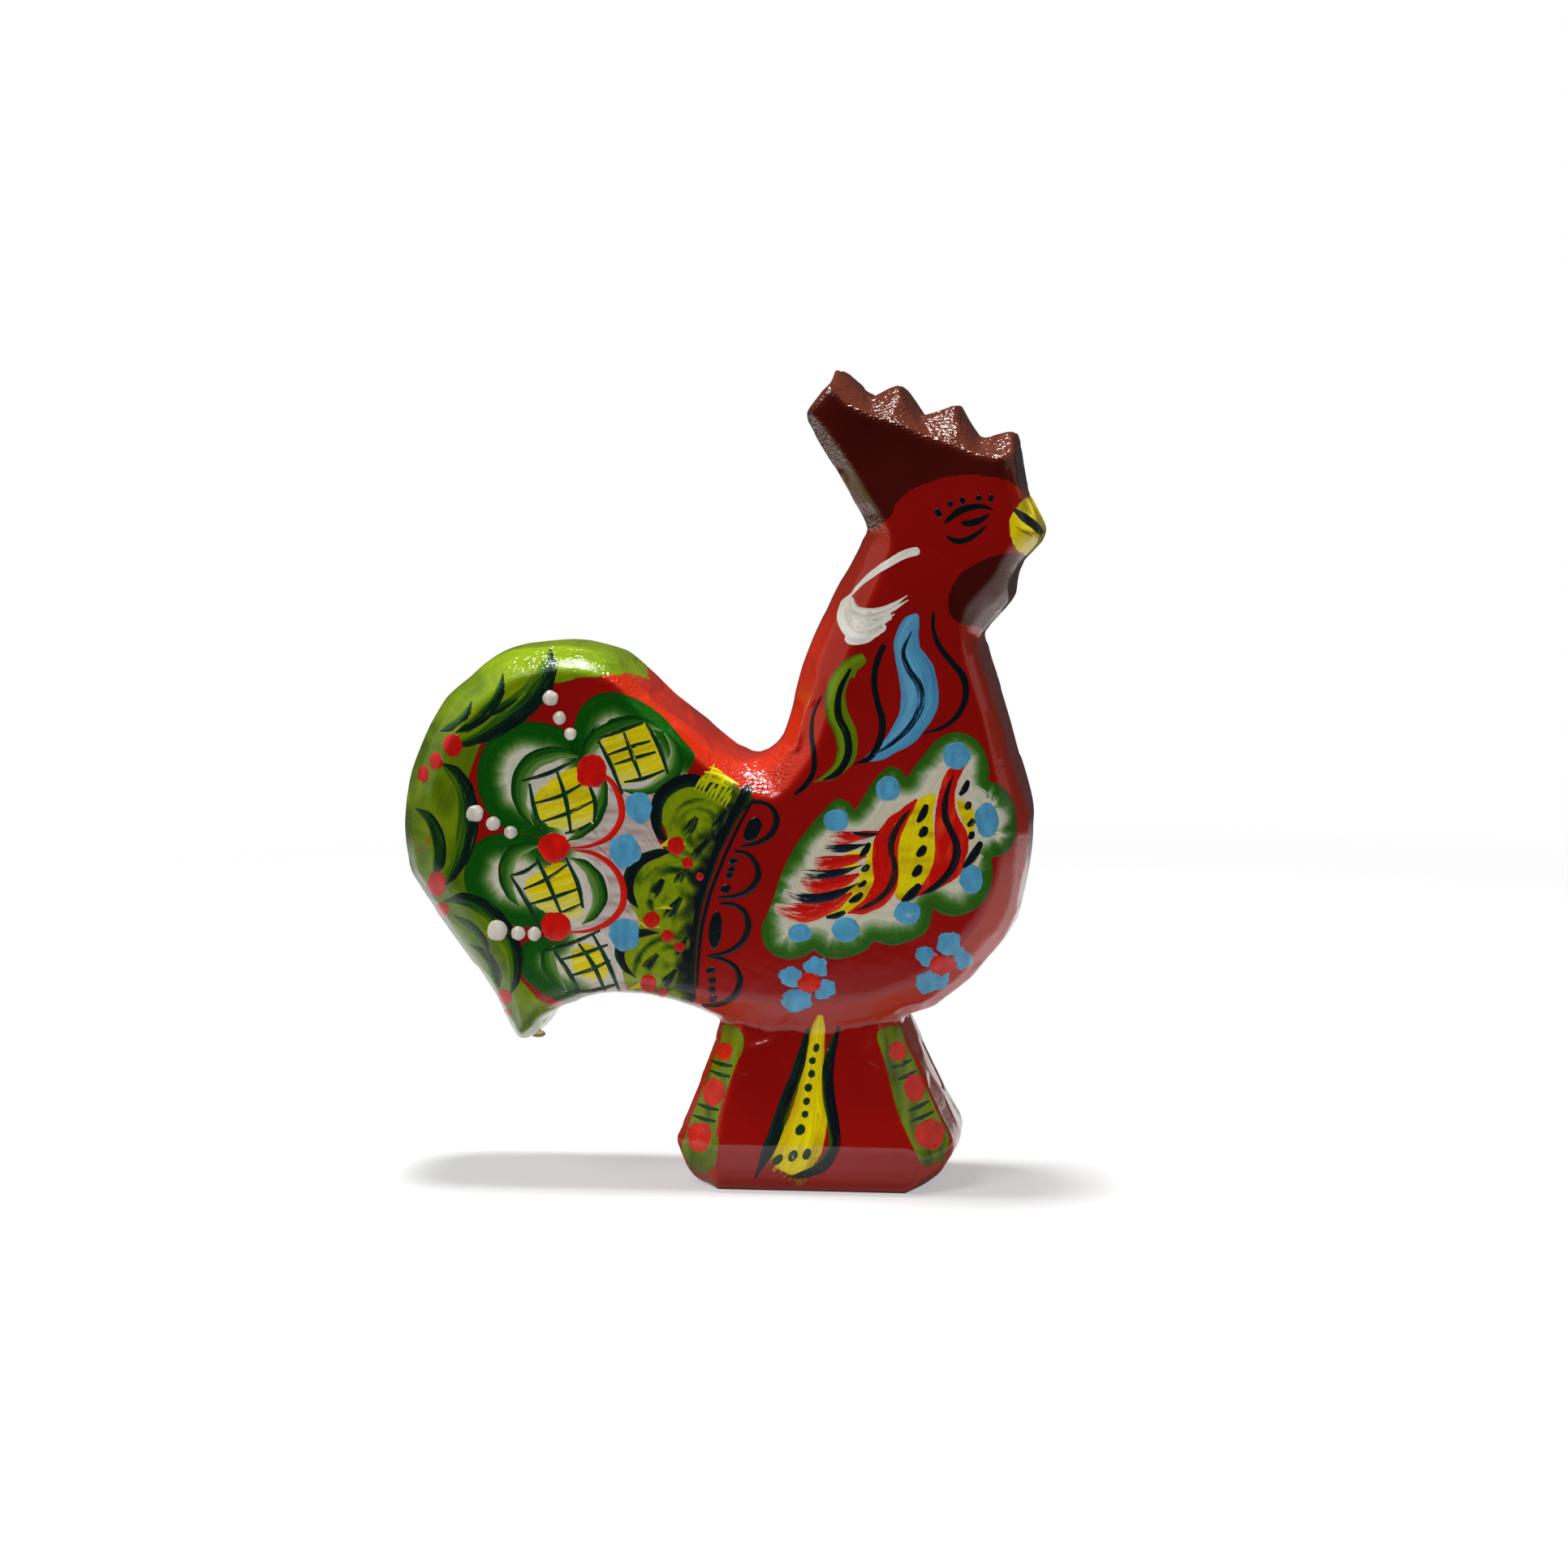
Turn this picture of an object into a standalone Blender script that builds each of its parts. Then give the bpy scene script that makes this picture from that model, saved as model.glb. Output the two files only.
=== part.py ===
"""Folk-art wooden rooster: one block of pine, sawn to a profile, bevelled with a
knife, and dressed with separately applied coats of paint.

Frame: the rooster faces +X, stands on the plane z = 0 and is symmetric about
y = 0. The origin is the centre of the foot's flat underside. Metres, +Z up.

The profile is a perspective template, as a carver sketches a standing block:
each point is the column and row where an eye at EYE sees it, counted to the
right and downwards, and it lies at a known depth y. on_plane() takes a template
point back to its true place.
"""

import math

import bmesh
import bpy
from mathutils import Vector

# ---------------------------------------------------------------- dimensions
HALF = 0.0210               # half the thickness of the sawn board
CROWN = 0.0005              # how far the middle of the rim stands proud
SHOULDER_IN, SHOULDER_UP = 0.40, 0.62   # where a bevel's middle ridge lies
BEVEL_SLOPE = 1.15          # depth of a bevel for each metre of its width
BEVEL_LEAST, BEVEL_DEEPEST = 0.0060, 0.0100
BEVEL_NARROWEST = 0.0030
SQUARE_EDGE = 0.0012        # the comb's rear corner is only broken this much
COMB_EDGE = 0.0095          # half thickness left along the comb's points

WAIST_HALF = 0.0165         # half thickness of the plinth under the belly
FOOT_HALF = 0.0210          # half thickness of the plinth at its widest

COAT_GAP = 0.00012          # clearance between the wood and a coat of paint
COAT = 0.00035              # thickness of a coat as laid on by brush
DRIP_RADIUS = 0.0011        # the hardened drop of varnish under the tail

# The template's eye: its distance, how far round to the front and how far up
# it stands, the point it looks at, and the squares that one unit of slope takes.
EYE_DISTANCE = 0.800
EYE_AROUND, EYE_ABOVE = math.radians(6.5), math.radians(5.5)
AIM = Vector((-0.0085, 0.0, 0.0869))
FOCAL = 4494.0
MIDDLE = 966.0

TOWARDS = Vector((
    math.sin(EYE_AROUND) * math.cos(EYE_ABOVE),
    -math.cos(EYE_AROUND) * math.cos(EYE_ABOVE),
    math.sin(EYE_ABOVE),
))
RIGHTWARDS = Vector((math.cos(EYE_AROUND), math.sin(EYE_AROUND), 0.0))
UPWARDS = TOWARDS.cross(RIGHTWARDS)
EYE = AIM + TOWARDS * EYE_DISTANCE


def on_plane(column, row, y):
    """The (x, z) of the template point that lies at depth y."""
    ray = (
        RIGHTWARDS * ((column - MIDDLE) / FOCAL)
        + UPWARDS * ((MIDDLE - row) / FOCAL)
        - TOWARDS
    )
    point = EYE + ray * ((y - EYE.y) / ray.y)
    return point.x, point.z


# ---------------------------------------------------------------- the profile
# Each entry is (outer column, outer row, inner column, inner row, kind).
# outer is on the rim; inner is where the knife's bevel meets the flat side.
# kind: "b" two-facet bevel, "p" one flat bevel, "t" the comb's thinned top,
# "s" a square-cut edge, "n" a two-facet bevel drawn by its nearer edge.
PROFILE = [
    # comb: rear corner, then four points with a notch after each
    (994, 507, 1003, 511, "s"),
    (1001, 497, 1008, 502, "s"),
    (1020, 474, 1026, 481, "s"),
    (1035, 456, 1041, 497, "t"),
    (1056, 474, 1058, 505, "t"),
    (1079, 492, 1079, 514, "t"),
    (1094, 484, 1093, 519, "t"),
    (1110, 475, 1108, 524, "t"),
    (1124, 496, 1123, 530, "t"),
    (1137, 514, 1137, 536, "t"),
    (1160, 507, 1158, 545, "t"),
    (1181, 499, 1178, 552, "t"),
    (1195, 524, 1193, 557, "t"),
    (1208, 542, 1207, 561, "t"),
    (1231, 537, 1227, 565, "t"),
    (1252, 532, 1242, 564, "t"),
    # forehead
    (1260, 560, 1246, 574, "p"),
    (1264, 585, 1250, 591, "p"),
    (1271, 612, 1258, 616, "p"),
    # beak
    (1278, 628, 1266, 630, "b"),
    (1285, 643, 1272, 643, "b"),
    (1288, 652, 1275, 652, "b"),
    (1284, 663, 1270, 660, "b"),
    (1274, 674, 1260, 669, "b"),
    (1264, 685, 1250, 680, "b"),
    # wattle
    (1256, 699, 1236, 694, "b"),
    (1252, 718, 1222, 712, "b"),
    (1251, 730, 1211, 726, "b"),
    (1240, 743, 1200, 738, "b"),
    (1226, 759, 1188, 752, "b"),
    (1214, 775, 1182, 768, "b"),
    # throat and breast
    (1218, 800, 1190, 795, "b"),
    (1230, 838, 1200, 834, "b"),
    (1242, 878, 1210, 876, "b"),
    (1254, 922, 1219, 922, "b"),
    (1266, 962, 1228, 966, "b"),
    (1272, 990, 1234, 996, "b"),
    (1271, 1035, 1236, 1032, "b"),
    (1264, 1080, 1230, 1070, "b"),
    (1255, 1118, 1220, 1104, "b"),
    (1240, 1150, 1206, 1132, "b"),
    (1221, 1174, 1190, 1154, "b"),
    (1198, 1202, 1170, 1178, "b"),
    (1176, 1221, 1150, 1196, "b"),
    (1148, 1240, 1124, 1212, "b"),
    (1116, 1251, 1096, 1222, "b"),
    (1090, 1265, 1078, 1229, "b"),
    # belly, inside the top of the plinth
    (1050, 1280, 1046, 1233, "b"),
    (1000, 1284, 1000, 1235, "b"),
    (950, 1280, 952, 1234, "b"),
    (912, 1265, 918, 1231, "b"),
    # underside of the body and tail
    (884, 1254, 888, 1232, "b"),
    (862, 1243, 864, 1226, "b"),
    (836, 1234, 838, 1219, "b"),
    (808, 1227, 809, 1213, "b"),
    (776, 1223, 777, 1209, "b"),
    (745, 1224, 744, 1210, "b"),
    (712, 1232, 709, 1217, "b"),
    (684, 1245, 681, 1230, "n"),
    (667, 1259, 663, 1243, "n"),
    (659, 1271, 652, 1253, "n"),
    # tip of the tail
    (648, 1279, 646, 1259, "n"),
    (637, 1277, 643, 1255, "n"),
    # back of the tail
    (626, 1254, 641, 1240, "b"),
    (609, 1222, 630, 1210, "b"),
    (586, 1188, 609, 1175, "b"),
    (556, 1147, 581, 1134, "b"),
    (533, 1113, 560, 1101, "b"),
    (508, 1075, 538, 1066, "b"),
    (501, 1034, 532, 1030, "b"),
    (500, 996, 531, 998, "b"),
    (506, 958, 536, 967, "b"),
    (520, 916, 548, 932, "b"),
    (536, 884, 562, 903, "b"),
    (557, 853, 581, 876, "b"),
    (580, 835, 600, 861, "b"),
    (604, 815, 620, 845, "b"),
    (628, 803, 640, 833, "b"),
    (664, 793, 672, 826, "b"),
    # top of the tail
    (702, 789, 704, 826, "b"),
    (742, 792, 736, 832, "b"),
    (776, 804, 764, 848, "b"),
    (802, 826, 787, 864, "b"),
    # the back
    (834, 857, 814, 889, "b"),
    (868, 882, 842, 918, "b"),
    (898, 908, 872, 948, "b"),
    (922, 922, 902, 971, "b"),
    (944, 924, 936, 984, "b"),
    (961, 914, 966, 978, "b"),
    # nape
    (974, 884, 1004, 930, "b"),
    (982, 850, 1024, 872, "b"),
    (994, 808, 1038, 830, "b"),
    (1012, 766, 1054, 788, "b"),
    (1034, 721, 1072, 744, "b"),
    (1056, 680, 1088, 704, "b"),
    (1070, 651, 1100, 672, "b"),
    # back edge of the comb
    (1066, 640, 1094, 650, "p"),
    (1050, 612, 1072, 612, "p"),
    (1030, 577, 1052, 577, "p"),
    (1010, 544, 1031, 546, "p"),
    (997, 521, 1012, 522, "p"),
]

# The plinth in level cuts, from the ground up: row, columns of the near edges
# of its two end faces, half thickness, columns of the near flat side's two
# edges, and half the width of the end faces.
PLINTH = [
    (1468, 872, 1128, 0.0176, 884, 1116, 0.0112),
    (1463, 858, 1141, 0.0188, 883, 1122, 0.0122),
    (1446, 845, 1161, 0.0206, 882, 1132, 0.0132),
    (1429, 838, 1171, FOOT_HALF, 882, 1134, 0.0140),
    (1416, 833, 1175, 0.0216, 884, 1127, 0.0142),
    (1402, 840, 1171, 0.0212, 887, 1121, 0.0142),
    (1380, 847, 1160, 0.0205, 891, 1110, 0.0140),
    (1340, 863, 1142, 0.0192, 900, 1099, 0.0130),
    (1300, 878, 1125, 0.0180, 908, 1089, 0.0116),
    (1262, 889, 1109, WAIST_HALF, 915, 1083, 0.0104),
    (1215, 896, 1098, WAIST_HALF, 920, 1078, 0.0100),
]


# ---------------------------------------------------------------- mesh helpers
def new_object(name, points, faces):
    mesh = bpy.data.meshes.new(name)
    mesh.from_pydata([tuple(p) for p in points], [], faces)
    mesh.validate()
    obj = bpy.data.objects.new(name, mesh)
    bpy.context.scene.collection.objects.link(obj)
    return obj


def helper(obj):
    """Marks a cutter or a guide, which isn't part of the object."""
    obj.hide_render = True
    obj.display_type = "WIRE"
    return obj


def loft(name, rings):
    """Closed skin through rings of equal length, capped at both ends. The
    diagonals run the same way on both halves, so the skin stays symmetric."""
    n = len(rings[0])
    points = [p for ring in rings for p in ring]
    faces = []
    for k in range(len(rings) - 1):
        for i in range(n):
            j = (i + 1) % n
            a, b, c, d = k * n + i, k * n + j, (k + 1) * n + j, (k + 1) * n + i
            if 2 * k < len(rings) - 1:
                faces += [(a, b, c), (a, c, d)]
            else:
                faces += [(a, b, d), (b, c, d)]
    last = (len(rings) - 1) * n
    faces.append(tuple(reversed(range(n))))
    faces.append(tuple(range(last, last + n)))
    obj = new_object(name, points, faces)
    make_outward(obj)
    return obj


def make_outward(obj):
    bm = bmesh.new()
    bm.from_mesh(obj.data)
    bmesh.ops.recalc_face_normals(bm, faces=bm.faces)
    if bm.calc_volume(signed=True) < 0:
        bmesh.ops.reverse_faces(bm, faces=bm.faces)
    bm.to_mesh(obj.data)
    bm.free()


def outward_normals(points):
    """Unit normals of a closed polygon in the xz plane, pointing out of it."""
    area = sum(
        a[0] * b[1] - b[0] * a[1] for a, b in zip(points, points[1:] + points[:1])
    )
    sign = 1.0 if area > 0 else -1.0
    normals = []
    for i, here in enumerate(points):
        before, after = points[i - 1], points[(i + 1) % len(points)]
        t1 = Vector((here[0] - before[0], here[1] - before[1])).normalized()
        t2 = Vector((after[0] - here[0], after[1] - here[1])).normalized()
        t = (t1 + t2).normalized()
        normals.append((sign * t.y, -sign * t.x))
    return normals


def upper_rings():
    """Rings of the body, neck, head and tail, from the right-hand flat side
    over the rim to the left-hand one."""
    inner = [on_plane(e[2], e[3], -HALF) for e in PROFILE]
    middle = [on_plane(e[0], e[1], 0.0) for e in PROFILE]
    edges, outer = [], []
    for entry, m, q, n in zip(PROFILE, middle, inner, outward_normals(middle)):
        width = math.hypot(m[0] - q[0], m[1] - q[1])
        kind = entry[4]
        if kind == "s":
            edge = HALF - SQUARE_EDGE
        elif kind == "t":
            edge = COMB_EDGE
        elif kind == "p":
            edge = HALF - min(0.95 * width, BEVEL_DEEPEST)
        else:
            depth = BEVEL_SLOPE * width + 0.0015
            edge = HALF - min(max(depth, BEVEL_LEAST), BEVEL_DEEPEST)
        edges.append(edge)
        # the farther edge of the rim makes the outline where the rim faces the eye
        facing = (EYE.x - m[0]) * n[0] + (EYE.z - m[1]) * n[1] > 0.0
        depth_y = 0.0 if kind == "t" else edge if facing and kind != "n" else -edge
        outer.append(on_plane(entry[0], entry[1], depth_y))
    rim, crown, shoulder, flat = [], [], [], []
    for entry, p, q, n, edge in zip(
        PROFILE, outer, inner, outward_normals(outer), edges
    ):
        kind = entry[4]
        if kind in "pbn":
            along = (p[0] - q[0]) * n[0] + (p[1] - q[1]) * n[1]
            short = max(0.0, BEVEL_NARROWEST - along)
            q = (q[0] - n[0] * short, q[1] - n[1] * short)
        up = SHOULDER_UP if kind in "bn" else SHOULDER_IN
        proud = CROWN if kind in "bn" else 0.0
        mid = (
            p[0] + SHOULDER_IN * (q[0] - p[0]),
            p[1] + SHOULDER_IN * (q[1] - p[1]),
        )
        rim.append((p[0], edge, p[1]))
        crown.append((p[0] + n[0] * proud, 0.0, p[1] + n[1] * proud))
        shoulder.append((mid[0], edge + up * (HALF - edge), mid[1]))
        flat.append((q[0], HALF, q[1]))
    mirror = lambda ring: [(x, -y, z) for x, y, z in ring]
    return [mirror(flat), mirror(shoulder), mirror(rim), crown, rim, shoulder, flat]


def plinth_rings():
    """Rings of the eight-sided plinth, from the ground up."""
    rings = []
    ground = on_plane(1000, PLINTH[0][0], -PLINTH[0][3])[1]
    for row, left, right, half, flat_l, flat_r, end in PLINTH:
        z = on_plane(1000, row, -half)[1] - ground
        xl, xr = (on_plane(c, row, -end)[0] for c in (left, right))
        fl, fr = (on_plane(c, row, -half)[0] for c in (flat_l, flat_r))
        rings.append(
            [
                (xl, -end, z), (fl, -half, z), (fr, -half, z), (xr, -end, z),
                (xr, end, z), (fr, half, z), (fl, half, z), (xl, end, z),
            ]
        )
    return rings


def grow_out(obj, amount):
    """Moves every face of a closed skin outwards by amount."""
    bm = bmesh.new()
    bm.from_mesh(obj.data)
    bm.normal_update()
    moves = [v.normal * min(v.calc_shell_factor(), 2.5) * amount for v in bm.verts]
    for v, move in zip(bm.verts, moves):
        v.co += move
    bm.to_mesh(obj.data)
    bm.free()


def apply_modifiers(obj):
    graph = bpy.context.evaluated_depsgraph_get()
    mesh = bpy.data.meshes.new_from_object(obj.evaluated_get(graph))
    obj.modifiers.clear()
    obj.data = mesh


def boolean(obj, other, operation):
    m = obj.modifiers.new(operation.lower(), "BOOLEAN")
    m.operation, m.object, m.solver = operation, other, "EXACT"
    return m


def rooster_block(name, grow):
    """The whole carved block: the upper loft joined to the plinth."""
    upper = loft(name, upper_rings())
    foot = helper(loft(name + "_foot", plinth_rings()))
    if grow:
        grow_out(upper, grow)
        grow_out(foot, grow)
    boolean(upper, foot, "UNION")
    bpy.context.view_layer.update()
    apply_modifiers(upper)
    bpy.data.objects.remove(foot)
    return upper


# ---------------------------------------------------------------- materials
def material(name, colour, roughness=0.22, metallic=0.0, coat=0.6):
    m = bpy.data.materials.new(name)
    m.use_nodes = True
    p = m.node_tree.nodes["Principled BSDF"]
    p.inputs["Base Color"].default_value = (*colour, 1.0)
    p.inputs["Roughness"].default_value = roughness
    p.inputs["Metallic"].default_value = metallic
    p.inputs["Coat Weight"].default_value = coat
    m.diffuse_color = (*colour, 1.0)
    return m


def paint(obj, mat):
    obj.data.materials.clear()
    obj.data.materials.append(mat)
    return obj


# ---------------------------------------------------------------- coats
def prism(name, outline, y_low, y_high):
    """A closed prism along Y over a template polygon."""
    pts = [on_plane(c, r, -HALF) for c, r in outline]
    rings = [[(x, y, z) for x, z in pts] for y in (y_low, y_high)]
    return loft(name, rings)


def coat(name, outline, side, mat):
    """A coat of paint over a template region. side -1 is the right-hand side
    (y < 0), +1 the left-hand side and 0 wraps over the rim from one to the
    other."""
    reach = HALF + 0.01
    low = -reach if side <= 0 else 0.0006
    high = reach if side >= 0 else -0.0006
    obj = prism(name, outline, low, high)
    boolean(obj, OUTER, "INTERSECT")
    boolean(obj, CORE, "DIFFERENCE")
    bpy.context.view_layer.update()
    apply_modifiers(obj)
    return paint(obj, mat)


# ================================================================ the model
for old in list(bpy.data.objects):
    bpy.data.objects.remove(old)

RED = material("red_base_coat", (0.42, 0.012, 0.008))
BROWN = material("brown_coat", (0.13, 0.022, 0.010))
YELLOW = material("yellow_coat", (0.80, 0.56, 0.01))
LEAF = material("leaf_green_coat", (0.25, 0.36, 0.01))
DARK_GREEN = material("dark_green_coat", (0.02, 0.11, 0.015))
BLUE = material("sky_blue_coat", (0.10, 0.38, 0.60))
WHITE = material("white_coat", (0.78, 0.75, 0.66))
BLACK = material("black_coat", (0.008, 0.012, 0.016))
BRIGHT_RED = material("bright_red_coat", (0.70, 0.02, 0.008))
VARNISH = material("varnish", (0.70, 0.62, 0.30), 0.05)

body = paint(rooster_block("carved_body", 0.0), RED)
OUTER = helper(rooster_block("coat_guide_outer", COAT_GAP + COAT))
CORE = helper(rooster_block("coat_guide_core", COAT_GAP))

# ---- coats that wrap over the rim
coat("comb_coat", [
    (980, 440), (1300, 440), (1300, 612), (1266, 600), (1250, 595), (1231, 591),
    (1208, 588), (1182, 586), (1158, 593), (1135, 603), (1116, 616),
    (1102, 631), (1092, 640), (1080, 650), (1060, 653), (980, 640),
], 0, BROWN)
coat("beak_coat", [
    (1310, 600), (1272, 613), (1260, 619), (1249, 628), (1244, 640),
    (1244, 656), (1247, 671), (1252, 678), (1262, 682), (1275, 690), (1310, 680),
], 0, YELLOW)
coat("wattle_coat", [
    (1275, 692), (1261, 684), (1251, 681), (1231, 682), (1215, 687), (1198, 697),
    (1184, 708), (1174, 720), (1168, 734), (1167, 748), (1172, 759),
    (1182, 767), (1196, 773), (1215, 777), (1262, 760),
], 0, BROWN)
coat("tail_rim_coat", [
    (826, 848), (800, 838), (770, 831), (740, 832), (705, 838), (668, 847),
    (650, 860), (628, 884), (600, 906), (588, 930), (578, 955), (573, 980),
    (572, 1010), (571, 1040), (566, 1066), (572, 1092), (586, 1114),
    (606, 1134), (622, 1156), (638, 1186), (656, 1210), (672, 1228),
    (690, 1238), (700, 1260), (660, 1300), (610, 1300), (470, 1120),
    (470, 940), (560, 800), (700, 770), (800, 775), (850, 840),
], 0, LEAF)

# ---- coats on each side
SIDES = {"right": -1, "left": 1}
for word, side in SIDES.items():
    coat(f"tail_flowers_{word}", [
        (706, 872), (716, 860), (735, 852), (762, 853), (790, 862), (812, 878),
        (834, 904), (856, 938), (866, 960), (836, 962), (814, 974),
        (805, 1000), (812, 1030), (818, 1046), (797, 1056), (782, 1072),
        (776, 1092), (782, 1122), (794, 1146), (778, 1166), (770, 1196),
        (774, 1218), (735, 1219), (700, 1230), (680, 1226), (660, 1206),
        (646, 1180), (644, 1160), (620, 1146), (590, 1112), (578, 1090),
        (573, 1062), (580, 1034), (600, 1016), (590, 985), (588, 950),
        (594, 922), (612, 900), (640, 888), (670, 889), (700, 899),
    ], side, WHITE)
    coat(f"hackle_band_{word}", [
        (888, 956), (915, 970), (926, 984), (912, 1006), (892, 1044), (874, 1092),
        (862, 1140), (856, 1190), (854, 1238), (820, 1230), (780, 1222),
        (782, 1190), (796, 1160), (802, 1140), (792, 1112), (790, 1086),
        (800, 1068), (822, 1054), (826, 1036), (816, 1006), (820, 978),
        (842, 970), (870, 968),
    ], side, DARK_GREEN)
    coat(f"wing_{word}", [
        (957, 1078), (990, 1030), (1012, 990), (1030, 983), (1050, 998),
        (1068, 968), (1090, 946), (1108, 952), (1120, 960), (1140, 925),
        (1158, 906), (1182, 901), (1206, 912), (1218, 940), (1218, 960),
        (1240, 980), (1252, 1014), (1246, 1044), (1226, 1056), (1222, 1090),
        (1206, 1116), (1176, 1126), (1150, 1118), (1140, 1148), (1110, 1163),
        (1080, 1158), (1050, 1176), (1020, 1178), (1000, 1170), (970, 1178),
        (944, 1164), (941, 1140), (950, 1118), (962, 1100),
    ], side, WHITE)
    coat(f"neck_plume_green_{word}", [
        (1060, 806), (1070, 810), (1058, 826), (1046, 850), (1050, 872),
        (1060, 896), (1060, 920), (1050, 944), (1030, 956), (1004, 964),
        (1022, 946), (1034, 920), (1030, 900), (1018, 872), (1022, 846),
        (1038, 822),
    ], side, LEAF)
    coat(f"neck_plume_blue_{word}", [
        (1138, 757), (1136, 776), (1128, 790), (1134, 812), (1152, 838),
        (1156, 866), (1146, 888), (1122, 906), (1096, 920), (1070, 938),
        (1094, 906), (1110, 880), (1110, 858), (1100, 826), (1104, 794),
        (1118, 766), (1130, 757),
    ], side, BLUE)
    coat(f"neck_stroke_upper_{word}", [
        (1136, 674), (1136, 682), (1120, 690), (1100, 702), (1080, 712),
        (1060, 722), (1052, 730), (1060, 716), (1080, 700), (1104, 684),
        (1126, 673),
    ], side, WHITE)
    coat(f"neck_stroke_lower_{word}", [
        (1050, 736), (1052, 746), (1080, 749), (1106, 745), (1098, 758),
        (1086, 776), (1066, 788), (1046, 788), (1034, 776), (1034, 760),
        (1040, 744),
    ], side, WHITE)
    coat(f"eye_upper_lid_{word}", [
        (1164, 642), (1180, 631), (1198, 624), (1214, 624), (1223, 628),
        (1210, 629), (1192, 632), (1178, 640), (1170, 645),
    ], side, BLACK)
    coat(f"eye_lower_lid_{word}", [
        (1166, 661), (1182, 662), (1198, 660), (1214, 650), (1206, 661),
        (1192, 668), (1176, 668),
    ], side, BLACK)
    for place, (c, r) in {"rear": (996, 1212), "front": (1160, 1185)}.items():
        coat(f"breast_flower_{place}_{word}", [
            (c - 30, r - 4), (c - 26, r - 18), (c - 8, r - 18), (c, r - 33),
            (c + 22, r - 32), (c + 24, r - 10), (c + 33, r - 4),
            (c + 26, r + 14), (c + 10, r + 16), (c + 4, r + 32),
            (c - 20, r + 33), (c - 36, r + 22), (c - 34, r + 10),
        ], side, BLUE)
    coat(f"plinth_stripe_{word}", [
        (1012, 1256), (1020, 1280), (1030, 1270), (1026, 1310), (1024, 1350),
        (1030, 1390), (1028, 1424), (1012, 1436), (985, 1447), (955, 1450),
        (940, 1440), (958, 1410), (976, 1360), (986, 1310), (994, 1284),
    ], side, YELLOW)
    coat(f"plinth_corner_rear_{word}", [
        (888, 1270), (912, 1270), (916, 1280), (904, 1320), (892, 1370),
        (882, 1430), (850, 1434), (842, 1420), (858, 1370), (874, 1316),
    ], side, LEAF)
    coat(f"plinth_corner_front_{word}", [
        (1084, 1270), (1107, 1270), (1120, 1300), (1137, 1340), (1153, 1380),
        (1163, 1402), (1158, 1426), (1138, 1434), (1116, 1390), (1098, 1340),
        (1088, 1300),
    ], side, LEAF)

FILM_GUARD = helper(rooster_block("drip_guide", 2 * COAT_GAP + COAT))

# ---- a drop of varnish that ran to the tail's lowest tip and set there
tip_x, tip_z = on_plane(650, 1280, -0.0125)
drop_rings = []
for k in range(7):
    turn = math.pi * (k + 0.5) / 7
    ring_radius = DRIP_RADIUS * math.sin(turn)
    z = tip_z + 0.3 * DRIP_RADIUS - DRIP_RADIUS * (1.0 - math.cos(turn))
    drop_rings.append([
        (tip_x + 1.6 * ring_radius * math.cos(t), ring_radius * math.sin(t), z)
        for t in (2 * math.pi * j / 14 for j in range(14))
    ])
drip = paint(loft("varnish_drip", drop_rings), VARNISH)
boolean(drip, FILM_GUARD, "DIFFERENCE")

for piece in bpy.data.objects:
    if piece.type == "MESH" and not piece.hide_render and piece.name != "varnish_drip":
        piece.data.shade_smooth()
        piece.data.set_sharp_from_angle(angle=math.radians(24))
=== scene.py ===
"""Looks of the carved and painted wooden rooster: the knife-cut block as a fine
surface, and every brush stroke, dab and bead of paint as a film laid on it."""

import math

import bpy
import bmesh
import numpy as np
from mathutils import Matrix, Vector, geometry, noise
from mathutils.bvhtree import BVHTree
from mathutils.kdtree import KDTree


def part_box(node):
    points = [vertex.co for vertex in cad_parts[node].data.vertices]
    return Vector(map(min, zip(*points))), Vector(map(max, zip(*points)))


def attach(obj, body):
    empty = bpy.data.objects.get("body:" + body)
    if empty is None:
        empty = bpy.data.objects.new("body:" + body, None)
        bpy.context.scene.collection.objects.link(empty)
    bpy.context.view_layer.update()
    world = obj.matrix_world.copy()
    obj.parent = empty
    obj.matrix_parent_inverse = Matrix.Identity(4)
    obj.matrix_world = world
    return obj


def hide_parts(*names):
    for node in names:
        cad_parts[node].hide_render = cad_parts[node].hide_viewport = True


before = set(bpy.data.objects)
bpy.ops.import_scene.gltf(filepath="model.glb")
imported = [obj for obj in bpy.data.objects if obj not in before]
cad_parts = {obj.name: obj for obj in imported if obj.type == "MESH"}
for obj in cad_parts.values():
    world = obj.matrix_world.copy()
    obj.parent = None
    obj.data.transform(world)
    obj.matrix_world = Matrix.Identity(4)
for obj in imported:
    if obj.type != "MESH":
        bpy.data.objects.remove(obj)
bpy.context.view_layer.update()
scene = bpy.context.scene

# ------------------------------------------------------------------ the eye
HALF = 0.0210
CROWN = 0.0005
SHOULDER_IN, SHOULDER_UP = 0.40, 0.62
BEVEL_SLOPE = 1.15
BEVEL_LEAST, BEVEL_DEEPEST = 0.0060, 0.0100
BEVEL_NARROWEST = 0.0030
SQUARE_EDGE = 0.0012
COMB_EDGE = 0.0095
WAIST_HALF = 0.0165
FOOT_HALF = 0.0210

EYE_DISTANCE = 0.800
EYE_AROUND, EYE_ABOVE = math.radians(6.5), math.radians(5.5)
AIM = Vector((-0.0085, 0.0, 0.0869))
FOCAL = 4494.0
MIDDLE = 966.0
MM = 0.001
SQ = EYE_DISTANCE / FOCAL          # one square of the drawing, in metres

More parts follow.
